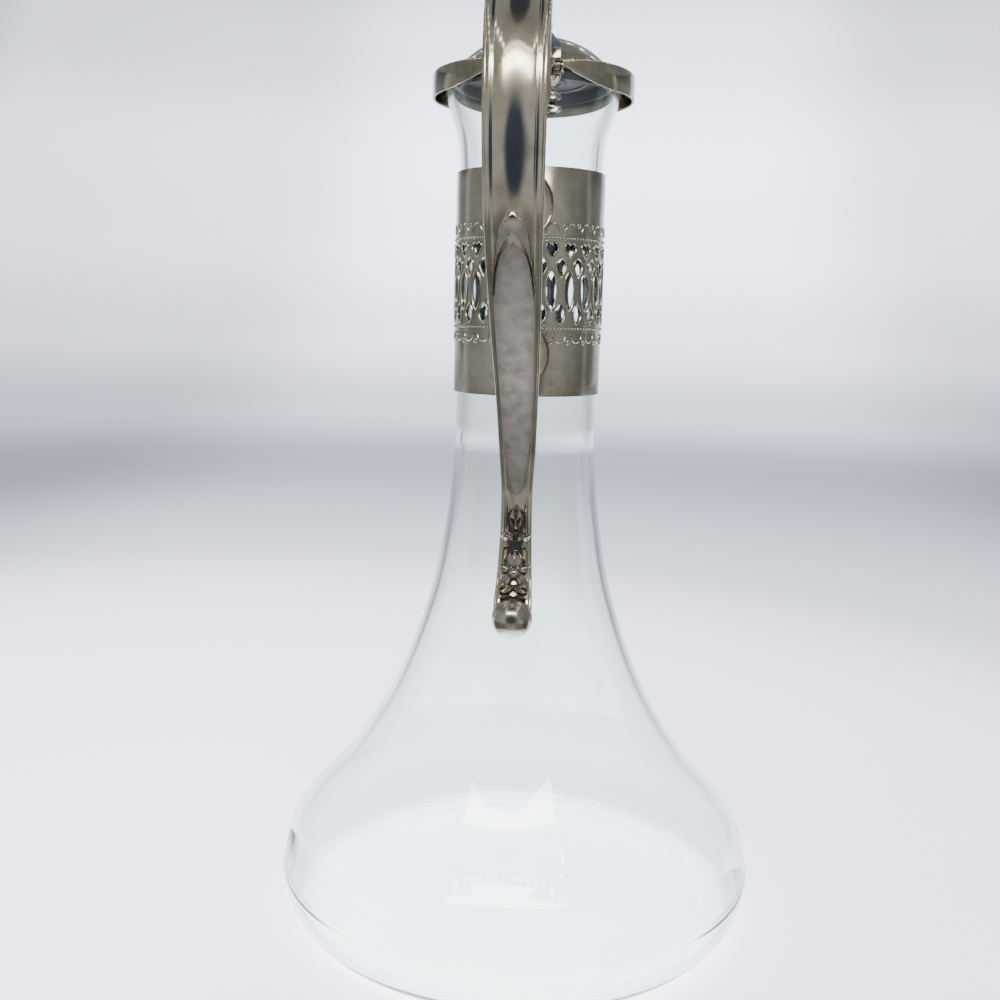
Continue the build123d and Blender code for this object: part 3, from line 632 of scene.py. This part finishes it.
def strap_loop(station):
    """The strap's section at a station, hollowed where the flower lies."""
    size = station[2] / WIDEST_HALF
    down = station[3] - CROOK_TOP - HOLLOW_START
    deep = min(max(down / HOLLOW_LENGTH, 0.0), 1.0) * HOLLOW_DEPTH
    front = []
    for share, proud in STRAP_FRONT:
        sunk = deep * max(0.0, 1 - (share / PANEL_SHARE) ** 4)
        front.append((share * station[2], proud * size - sunk))
    half = front + [(share * station[2], proud) for share, proud in STRAP_BACK]
    return mirrored_loop(station, half[::-1])


def petal(bm, stations, run, across, length, width, thick, turn, point):
    """A leaf-shaped lump with a raised rib, turned in the strap's face."""
    made = bmesh.ops.create_uvsphere(bm, u_segments=24, v_segments=14, radius=1.0)["verts"]
    turn = radians(turn)
    for vert in made:
        along, side, up = vert.co
        narrow = 1 - point * max(along, 0) ** 2
        rib = 1 + 0.3 * max(0, 1 - abs(side) * 3.0) * (1 if point else 0)
        ahead = along * length
        aside = side * width * narrow
        # up the strap is back along its run
        back = ahead * cos(turn) - aside * sin(turn)
        place = station_at(stations, min(max(run - back, 0.0), stations[-1][3]))
        vert.co = on_strap(place, across + ahead * sin(turn) + aside * cos(turn),
                           ORNAMENT_GROUND + up * thick * rib)


def swept(loops):
    """A solid through loops of points, which have as many points each."""
    bm = bmesh.new()
    ring = [bm.verts.new(p) for p in loops[0]]
    edges = [bm.edges.new(pair) for pair in zip(ring, ring[1:] + ring[:1])]
    first = list(edges)
    for loop in loops[1:]:
        made = bmesh.ops.extrude_edge_only(bm, edges=edges)["geom"]
        edges = [e for e in made if isinstance(e, bmesh.types.BMEdge) and e.is_boundary]
        fresh = [v for v in made if isinstance(v, bmesh.types.BMVert)]
        for vert, place in zip(fresh, loop):
            vert.co = place
    for end in (first, edges):
        bmesh.ops.contextual_create(bm, geom=end)
    return bm


def curve_shape(splines, **settings):
    """The bmesh that a curve with these settings gives: (points, closed) for each spline."""
    curve = bpy.data.curves.new("path", "CURVE")
    for key, value in settings.items():
        setattr(curve, key, value)
    for points, closed in splines:
        spline = curve.splines.new("POLY")
        spline.points.add(len(points) - 1)
        for point, place in zip(spline.points, points):
            point.co = (*place, 1)
        spline.use_cyclic_u = closed
    holder = new_object("path", curve)
    bpy.context.view_layer.update()
    mesh = bpy.data.meshes.new_from_object(holder)
    bpy.data.objects.remove(holder)
    bm = bmesh.new()
    bm.from_mesh(mesh)
    bpy.data.meshes.remove(mesh)
    return bm


def band_wires(splines, name, thickness, finish="silver_plate_rubbed"):
    """Round wires on the band, as one piece: (points, closed) for each wire."""
    bm = curve_shape(
        splines, dimensions="3D", bevel_depth=thickness * MM, bevel_resolution=1,
        use_fill_caps=True,
    )
    mesh_piece(bm, name, finish, angle=60)


def smooth_outline(half, steps):
    """A closed outline from its right half, which is made a smooth line and mirrored."""
    line = [(max(p.x, 0.0), p.y) for p in flowing(half, steps)]
    return line + [(-x, y) for x, y in reversed(line[1:-1])]


# === Settings ===
class ClaretJugSettings(bpy.types.PropertyGroup):
    """Sizes and colours that a user would change."""

    plate_colour_code: StringProperty(
        name="Plate colour", description="Colour of the polished silver plate, as hex",
        default="#BDB399",
    )
    tarnish_colour_code: StringProperty(
        name="Tarnish colour", description="Colour of the tarnish in patches and recesses, as hex",
        default="#5F5747",
    )
    lamp_power: FloatProperty(
        name="Lamp power", description="Light of the soft lamp overhead", default=34.0, min=0.0,
        unit="POWER",
    )
    room_light: FloatProperty(
        name="Room light", description="Brightness above the tent's wall", default=0.6, min=0.0,
    )
    tent_radius: FloatProperty(
        name="Tent radius", description="Distance of the white tent's wall from the jug",
        default=2.2, min=1.5, unit="LENGTH", subtype="DISTANCE",
    )
    dots_per_strip: IntProperty(
        name="Lamps per strip", description="Small lamps along each side of the overhead frame",
        default=14, min=2,
    )


# === Operators ===
class CLARET_OT_blown_glass(bpy.types.Operator):
    """Makes the blown glass jug"""

    bl_idname = "claret.blown_glass"
    bl_label = "Blown Glass"

    def execute(self, context):
        outside = flowing(FOOT_TOE, 6)[:-1] + flowing(SHOULDER, 8) + flowing(FLARE, 6)
        inside = self.pushed_in(outside)
        lip = [Vector(LIP_TOP)]
        under = flowing(FOOT_UNDER, 5)[:-1]
        floor = [Vector((p[0], p[1] + FLOOR)) for p in FOOT_UNDER[:4]]
        profile = under + outside + lip + inside[::-1] + flowing(floor, 5)[::-1]
        bm = turned([(p[0], max(p[1], 0.0)) for p in profile], GLASS_STEPS)
        jug = mesh_piece(bm, "blown_glass_jug", "soda_lime_glass_blown",
                         nodes=("glass_body",), angle=80)
        # clear glass lets the lamp through, and a path tracer seldom does
        jug.visible_shadow = False
        return {"FINISHED"}

    @staticmethod
    def pushed_in(outside):
        """The inside of the wall, square to the outside, and thicker in the neck."""
        inside = []
        for here, way in zip(outside, ways_along(outside)):
            wall = NECK_WALL if here.y > NECK_START else WALL
            point = here + Vector((-way.y, way.x)) * wall
            if point.y > FLOOR and here.y > TOE_TOP:
                inside.append(point)
        return inside


class CLARET_OT_neck_band(bpy.types.Operator):
    """Makes the pierced band with its rims, beads and scrolls"""

    bl_idname = "claret.neck_band"
    bl_label = "Neck Band"

    def execute(self, context):
        pitch = 360 / REPEATS
        holes = []
        for repeat in range(REPEATS):
            heart, kite = (
                (FIRST_HEART + (repeat + share) * pitch + 180) % 360 - 180 for share in (0, 0.5)
            )
            holes += [(HEART, heart), (OVAL, heart)]
            if abs(kite) > SEAM_CLEAR:  # the seam runs down where this pair would be
                holes += [(UPPER_KITE, kite), (LOWER_KITE, kite)]
        self.sheet(holes)
        self.relief(holes, pitch)
        for node, name, finish, slot in (
            ("collar_seam_strap", "seam_strap", "silver_plate_rolled", "plated_band"),
            ("upper_packing_ring", "upper_packing", "plaster_packing_poured", "packing"),
            ("lower_packing_ring", "lower_packing", "plaster_packing_poured", "packing"),
        ):
            cad_copy(node, name, finish)
        return {"FINISHED"}

    @staticmethod
    def sheet(holes):
        """The band as a flat filled sheet with its openings, bent round the neck."""
        middle = BAND_RADIUS - BAND_SHEET / 2
        half = pi * middle - SEAM_HALF_GAP
        border = [(-half, BAND_BOTTOM), (half, BAND_BOTTOM), (half, BAND_TOP), (-half, BAND_TOP)]
        outlines = [border]
        for shape, azimuth in holes:
            # the sheet's ends meet at the seam, so it is laid out from there
            centre = radians(azimuth % 360 - 180) * middle
            outline = smooth_outline(shape, 2)
            outlines.append([(centre + x * middle / BAND_RADIUS, y) for x, y in outline])
        bm = curve_shape(
            [([(x * MM, y * MM, 0) for x, y in outline], True) for outline in outlines],
            dimensions="2D", fill_mode="BOTH", extrude=(BAND_SHEET / 2 - EDGE_ROUND) * MM,
            bevel_depth=EDGE_ROUND * MM, bevel_resolution=1, offset=-EDGE_ROUND * MM,
        )
        bmesh.ops.remove_doubles(bm, verts=bm.verts, dist=10 * SAME)
        for cut in range(1, BEND_CUTS):
            place = (-half + 2 * half * cut / BEND_CUTS) * MM
            geometry = bm.verts[:] + bm.edges[:] + bm.faces[:]
            bmesh.ops.bisect_plane(
                bm, geom=geometry, dist=SAME, plane_co=(place, 0, 0), plane_no=(1, 0, 0)
            )
        for vert in bm.verts:
            angle = vert.co.x / (middle * MM)
            radius = middle * MM + vert.co.z
            vert.co = (-radius * sin(angle), radius * cos(angle), vert.co.y)
        band = mesh_piece(bm, "pierced_band", "silver_plate_rolled",
                          nodes=("collar_band",), angle=40)
        # the inner face is painted blue-black: painted shade for the dark inside the band
        band.data.materials.append(material("silver_plate_painted_shade"))
        for face in band.data.polygons:
            if face.normal.xy.dot(face.center.xy.normalized()) < -0.5:
                face.material_index = 1

    @staticmethod
    def relief(holes, pitch):
        """Raised rims round the openings, bead rows, little arches, loops and rings."""
        rims = []
        for shape, azimuth in holes:
            outline = smooth_outline(shape, 3)
            middle = sum(y for x, y in outline) / len(outline)
            rim = [
                on_band(x * RIM_WIDER, middle + (y - middle) * RIM_TALLER, RIM_OUT, azimuth)
                for x, y in outline
            ]
            rims.append((rim, True))
        band_wires(rims, "opening_rims", RIM_RADIUS)
        scrolls = []
        for repeat in range(REPEATS):
            for share, height, half, rise, ring in SCROLLS:
                azimuth = FIRST_HEART + (repeat + share) * pitch
                part, count = (5, 10) if ring else (14, 15)
                turns = [pi * i / part for i in range(count)]
                scrolls.append((
                    [on_band(half * cos(t), height + rise * sin(t), 0.0, azimuth) for t in turns],
                    ring,
                ))
        band_wires(scrolls, "band_scrolls", SCROLL_WIRE)
        beads = bmesh.new()
        for row in BEAD_ROWS:
            for i in range(REPEATS * BEADS_PER_REPEAT):
                azimuth = FIRST_HEART + i * pitch / BEADS_PER_REPEAT
                bmesh.ops.create_icosphere(
                    beads, subdivisions=1, radius=BEAD_RADIUS * MM,
                    matrix=Matrix.Translation(on_band(0, row, BEAD_OUT, azimuth)),
                )
        mesh_piece(beads, "band_beads", "silver_plate_rubbed", angle=80)
        threads = [
            ([on_band(0, height, THREAD_OUT, 1 + 358 * i / 120) for i in range(121)], False)
            for height in THREAD_HEIGHTS
        ]
        band_wires(threads, "band_threads", THREAD_WIRE, "silver_plate_rolled")


class CLARET_OT_mount_plates(bpy.types.Operator):
    """Makes the two domed plates on the band, and the legs and screws"""

    bl_idname = "claret.mount_plates"
    bl_label = "Mount Plates and Legs"

    def execute(self, context):
        for where, height in PLATE_HEIGHTS.items():
            self.plate(where, height)
            cad_copy(f"{where}_leg", f"{where}_handle_leg", "silver_plate_cast")
        cad_copy("mount_screws", "countersunk_screws", "brass_turned")
        return {"FINISHED"}

    @staticmethod
    def plate(where, height):
        """A pointed oval: a low dome inside a lifted edge, bent to the band."""
        arc = (PLATE_HALF_WIDTH ** 2 + PLATE_HALF_HEIGHT ** 2) / (2 * PLATE_HALF_WIDTH)
        outline = []
        for i in range(PLATE_STEPS):
            turn = 2 * pi * i / PLATE_STEPS
            tall = PLATE_HALF_HEIGHT * sin(turn)
            wide = (arc ** 2 - tall ** 2) ** 0.5 - arc + PLATE_HALF_WIDTH
            outline.append((wide if cos(turn) >= 0 else -wide, tall))
        loops = [
            [on_band(share * wide, height + share * tall, proud) for wide, tall in outline]
            for share, proud in PLATE_SECTION
        ]
        mesh_piece(swept(loops), f"{where}_domed_plate", "silver_plate_cast",
                   nodes=(f"{where}_mount_plate",), angle=50)


class CLARET_OT_handle(bpy.types.Operator):
    """Makes the cast handle: strap, leaf, flower, buds and round ends"""

    bl_idname = "claret.handle"
    bl_label = "Cast Handle"

    def execute(self, context):
        stations = strap_stations()
        loops = [strap_loop(station) for station in stations]
        for out, height, width in STRAP_TUCK:
            tucked = (Vector((out, height)), stations[-1][1], width / 2, stations[-1][3])
            loops.append(strap_loop(tucked))
        mesh_piece(swept(loops), "cast_strap", "silver_plate_cast",
                   nodes=("handle_casting",), angle=50)
        self.leaf(stations)
        self.tongue(stations)
        self.ornament(stations)
        for name, (out, height, radius) in (("round_end", BALL), ("inner_round_end", INNER_BALL)):
            ball = bmesh.new()
            bmesh.ops.create_uvsphere(
                ball, u_segments=48, v_segments=32, radius=radius * MM,
                matrix=Matrix.Translation(Vector((0, -out, height)) * MM),
            )
            mesh_piece(ball, name, "silver_plate_grimed", angle=80)
        return {"FINISHED"}

    @staticmethod
    def leaf(stations):
        """The pointed leaf: a bright bevelled edge, a worn face, a hollow for the tongue."""
        loops = []
        hollow = flowing(LEAF_HOLLOW, 8)
        for point in flowing(LEAF, 6):
            s = station_at(stations, CROOK_TOP + LEAF_START + point.x)
            wide = max(point.y, 0.04)
            bevel = min(wide * 0.5, max(0.25, 0.95 - 0.08 * point.x))
            inner = max((p.y for p in hollow if p.x <= point.x), default=0.0)
            inner = min(inner, wide - bevel - 0.05)
            # the very tip comes up out of the panel as a small nose that catches the lamps
            top = LEAF_TOP - TIP_DIP * max(0.0, 1 - point.x / TIP_LENGTH) ** 2
            top += NOSE_RISE * exp(-((point.x - NOSE_START) / NOSE_HALF) ** 2)
            flat, hollowed = wide - bevel, inner > 0.3
            if hollowed:
                face = [
                    (inner + 0.12, top), (inner, top - 0.06), (inner - 0.2, TRENCH), (0, TRENCH),
                ]
            else:
                face = [
                    (max(inner + 0.12, flat * 0.75), top), (flat * 0.5, top), (flat * 0.25, top),
                    (0, top),
                ]
            edge = [(wide, -1.6), (wide, top - 0.8), (flat, top - 0.12)]
            loops.append(mirrored_loop(s, edge + face))
        piece = mesh_piece(
            swept(loops), "pointed_leaf", "silver_plate_cast", angle=30)
        # the face is worn matt, its bevel and its tip are not
        piece.data.materials.append(material("silver_plate_worn"))
        tip_end = station_at(stations, CROOK_TOP + LEAF_START + TIP_BRIGHT)[0].y * MM
        for face in piece.data.polygons:
            if abs(face.normal.x) < BEVEL_SLOPE and face.center.z < tip_end:
                face.material_index = 1

    @staticmethod
    def tongue(stations):
        """The long worn tongue, slightly crowned, with a fine rolled edge."""
        loops = []
        for point in flowing(TONGUE, 5):
            s = station_at(stations, CROOK_TOP + TONGUE_START + point.x)
            wide = max(point.y, 0.04)
            rim = min(0.42, wide * 0.4)
            loops.append(mirrored_loop(s, [
                (wide, -1.5), (wide, TONGUE_TOP - 0.75), (wide - rim * 0.3, TONGUE_TOP - 0.4),
                (wide - rim, TONGUE_TOP - 0.24), (wide * 0.5, TONGUE_TOP - 0.06), (0, TONGUE_TOP),
            ]))
        mesh_piece(swept(loops), "long_tongue", "silver_plate_worn", angle=40)

    @staticmethod
    def ornament(stations):
        """A bud, a pair of leaves and a flower, cast on above the lower round end."""
        beads = [(run, 0.0, 0.45, 0.45, 1.3, 0, 0.0) for run in SMALL_BEADS]
        for name, start, lumps in (
            ("flower_ornament", CROOK_TOP, BUD + LEAF_PAIR + beads + STAR + STAR_FOOT + [EYE]),
            ("inner_flower_ornament", 0.0, INNER_BLOOM),
        ):
            bm = bmesh.new()
            for run, across, length, width, thick, turn, point in lumps:
                for side in (-1, 1) if across else (1,):
                    petal(bm, stations, start + run, side * across, length, width, thick,
                          side * turn, point)
            mesh_piece(bm, name, "silver_plate_grimed", angle=70)


class CLARET_OT_hinge(bpy.types.Operator):
    """Makes the hinge: lug, pin, leaf, thumb plate and rivets"""

    bl_idname = "claret.hinge"
    bl_label = "Hinge and Thumb Plate"

    def execute(self, context):
        for node, name, finish, slot, body, bevel in (
            ("hinge_lug", "fixed_knuckle", "cast", "casting", "jug", 0.12),
            ("hinge_pin", "headed_pin", "cast", "casting", "jug", 0.15),
            ("lid_hinge_leaf", "leaf_with_knuckles", "spun", "lid", "lid", 0.12),
            # the thumb plate is painted blue-black: a painted reflection of the dark room in front
            ("thumb_plate", "bell_thumb_plate", "painted_shade", "lid", "lid", 0.2),
            ("lid_rivets", "leaf_rivets", "spun", "lid", "lid", 0.2),
        ):
            cad_copy(node, name, "silver_plate_" + finish, body, bevel)
        return {"FINISHED"}


class CLARET_OT_lid(bpy.types.Operator):
    """Makes the spun lid, arched up over the hinge, and its liner"""

    bl_idname = "claret.lid"
    bl_label = "Lid"

    def execute(self, context):
        # the dome's two arcs are made smooth, and the flange and skirt left as they are
        outer, rim, inner = LID_PROFILE[:7], LID_PROFILE[7:15], LID_PROFILE[15:]
        profile = flowing(outer, 5) + rim + flowing(inner, 5)
        shell = mesh_piece(
            turned(profile, LID_STEPS), "spun_lid", "silver_plate_spun", "lid",
            ("lid_shell",), 40,
        )
        # the skirt's edge sweeps up from both sides in a long S to the top of the arch
        rise = [
            (x, SKIRT_BOTTOM + ARCH_HEIGHT * (1 + cos(pi * x / ARCH_HALF_WIDTH)) / 2)
            for x in (ARCH_HALF_WIDTH * (i / 24 - 1) for i in range(49))
        ]
        below = [(ARCH_HALF_WIDTH, SKIRT_BOTTOM - 2), (-ARCH_HALF_WIDTH, SKIRT_BOTTOM - 2)]
        cutter = bmesh.new()
        near, deep = ARCH_CUT
        line = [cutter.verts.new((x * MM, near * MM, z * MM)) for x, z in rise + below]
        face = bmesh.ops.contextual_create(cutter, geom=line)["faces"]
        pushed = bmesh.ops.extrude_face_region(cutter, geom=face)["geom"]
        bmesh.ops.translate(
            cutter, verts=[v for v in pushed if isinstance(v, bmesh.types.BMVert)],
            vec=(0, deep * MM, 0),
        )
        bmesh.ops.recalc_face_normals(cutter, faces=cutter.faces)
        tool = new_object("arch_cutter", new_mesh(cutter, "arch_cutter"))
        cut = shell.modifiers.new("arch", "BOOLEAN")
        cut.operation = "DIFFERENCE"
        cut.solver = "EXACT"
        cut.object = tool
        bpy.context.view_layer.update()
        cleared = bpy.data.meshes.new_from_object(
            shell.evaluated_get(bpy.context.evaluated_depsgraph_get()))
        shell.modifiers.remove(cut)
        bpy.data.objects.remove(tool)
        shell.data = cleared
        shell.data.name = "spun_lid"
        shell.data.shade_smooth()
        shell.data.set_sharp_from_angle(angle=radians(40))
        # the liner is painted dark: painted shade under the lid
        mesh_piece(turned(LINER_PROFILE, LINER_STEPS), "ringed_liner", "plate_hazy_painted_shade",
                   "lid", ("lid_liner",), 40)
        return {"FINISHED"}


class CLARET_OT_stage(bpy.types.Operator):
    """Makes the floor, the surroundings, the lamps and the camera"""

    bl_idname = "claret.stage"
    bl_label = "Stage, Lights and Camera"

    def execute(self, context):
        sizes = context.scene.claret_jug
        self.room(sizes)
        self.lamps(sizes)
        self.camera(context.scene)
        return {"FINISHED"}

    @staticmethod
    def stage_piece(bm, name, finish, seen=False):
        """A piece of the surroundings, which as a rule only the metal and the glass see."""
        bmesh.ops.recalc_face_normals(bm, faces=bm.faces)
        thing = new_object(name, new_mesh(bm, name))
        thing.data.materials.append(finish)
        thing.data.shade_smooth()
        thing.visible_camera = thing.visible_shadow = thing.visible_diffuse = seen

    def room(self, sizes):
        """A pale floor that curves up all round into a white tent, and the dark room in front."""
        bend, low = BEND_RADIUS, -FLOOR_DROP
        flat = sizes.tent_radius - bend
        turns = [radians(BEND_TURN) * i / 20 for i in range(21)]
        line = [(i * flat / 6, low) for i in range(6)] + [
            (flat + bend * sin(t), bend - bend * cos(t) + low) for t in turns
        ]
        floor = turned([(out / MM, height / MM) for out, height in line], FLOOR_STEPS)
        self.stage_piece(floor, "pale_floor", tent_material(), seen=True)
        first, last = radians(ROOM_LEVELS[0][0]), radians(ROOM_LEVELS[-1][0])
        corners = (TABLE_EDGE[0], ROOM_LIFT), (ROOM_RADIUS, ROOM_LIFT), (ROOM_RADIUS, ROOM_TOP[1])
        walls = turned(
            [(out / MM, height / MM) for out, height in corners], ROOM_STEPS, first - pi / 2,
            last - first,
        )
        self.stage_piece(walls, "dark_room", dark_room_material())
        world = bpy.data.worlds.new("pale_surroundings")
        bpy.context.scene.world = world
        world.use_nodes = True
        tree = world.node_tree
        tree.nodes.clear()
        light = {"Color": srgb("#DDE3EE"), "Strength": sizes.room_light}
        sky = add_node(tree, "Background", light)
        add_node(tree, "OutputWorld", Surface=sky.outputs[0])

    def lamps(self, sizes):
        """A frame of small lamps, a soft strip at its front, and a wide soft lamp over the jug."""
        bm = bmesh.new()
        count = sizes.dots_per_strip
        wide, (front, back), height = RING_WIDE, RING_DEEP, RING_UP
        for i in range(count):
            share = i / (count - 1)
            across, along = wide * (share * 2 - 1), front + (back - front) * share
            for x, y in ((across, back), (across, front), (wide, along), (-wide, along)):
                bmesh.ops.create_uvsphere(
                    bm, u_segments=10, v_segments=6, radius=DOT_RADIUS,
                    matrix=Matrix.Translation((x, y, height)),
                )
        self.stage_piece(bm, "lamp_dots", lamp_material("lamp_dots", "#FFFFFF", DOT_GLOW))
        bm = bmesh.new()
        ahead, below = STRIP_OFFSET
        bmesh.ops.create_grid(
            bm, x_segments=1, y_segments=1, size=0.5,
            matrix=Matrix.Translation((0, front - ahead, height - below))
            @ Matrix.Rotation(radians(STRIP_TILT), 4, "X") @ Matrix.Diagonal((*STRIP_SIZE, 1, 1)),
        )
        self.stage_piece(bm, "strip_lamp", lamp_material("strip_lamp", "#FBFCFF", STRIP_GLOW))
        bm = bmesh.new()
        bmesh.ops.create_circle(
            bm, cap_ends=True, segments=48, radius=OPENING_RADIUS,
            matrix=Matrix.Translation(OPENING_PLACE))
        self.stage_piece(bm, "roof_opening", lamp_material("dark_opening", "#4A5268", 1.0))
        light = bpy.data.lights.new("soft_top_lamp", "AREA")
        light.shape = "RECTANGLE"
        light.size = light.size_y = LAMP_SIZE
        light.energy = sizes.lamp_power
        lamp = new_object("soft_top_lamp", light)
        lamp.location = LAMP_PLACE
        # its light reaches the floor, and its face is left out of the metal's reflections
        lamp.visible_glossy = False

    @staticmethod
    def camera(scene):
        """The photograph's own viewpoint: right, up and back are the camera's axes."""
        azimuth, pitch, roll, pan = (radians(turn) for turn in CAMERA_TURNS)
        lens = bpy.data.cameras.new("viewpoint")
        lens.sensor_fit = "HORIZONTAL"
        lens.sensor_width = SENSOR
        lens.lens = SENSOR * LENS_PIXELS / IMAGE_PIXELS
        lens.clip_start = 0.01
        view = new_object("viewpoint", lens)
        # looking along +Y, then turned to its heading, pitched down and rolled
        turn = (
            Matrix.Rotation(azimuth - pan, 4, "Z") @ Matrix.Rotation(pi / 2 - pitch, 4, "X")
            @ Matrix.Rotation(roll, 4, "Z")
        )
        place = Vector((CAMERA_OUT * sin(azimuth), -CAMERA_OUT * cos(azimuth), CAMERA_HEIGHT)) * MM
        view.matrix_world = Matrix.Translation(place) @ turn
        scene.camera = view


class CLARET_PT_panel(bpy.types.Panel):
    """Lists the steps that build the jug"""

    bl_idname = "CLARET_PT_panel"
    bl_label = "Claret Jug"
    bl_space_type = "VIEW_3D"
    bl_region_type = "UI"
    bl_category = "Claret Jug"

    def draw(self, context):
        sizes = context.scene.claret_jug
        for name in ClaretJugSettings.__annotations__:
            self.layout.prop(sizes, name)
        for step in STEPS:
            self.layout.operator(step.bl_idname)


STEPS = (
    CLARET_OT_stage, CLARET_OT_blown_glass, CLARET_OT_neck_band, CLARET_OT_mount_plates,
    CLARET_OT_handle, CLARET_OT_hinge, CLARET_OT_lid,
)


def register():
    bpy.utils.register_class(ClaretJugSettings)
    for step in STEPS:
        bpy.utils.register_class(step)
    bpy.utils.register_class(CLARET_PT_panel)
    bpy.types.Scene.claret_jug = PointerProperty(type=ClaretJugSettings)


def unregister():
    del bpy.types.Scene.claret_jug
    bpy.utils.unregister_class(CLARET_PT_panel)
    for step in reversed(STEPS):
        bpy.utils.unregister_class(step)
    bpy.utils.unregister_class(ClaretJugSettings)


def main():
    register()
    for step in STEPS:
        group, name = step.bl_idname.split(".")
        getattr(getattr(bpy.ops, group), name)()


if __name__ == "__main__":
    main()
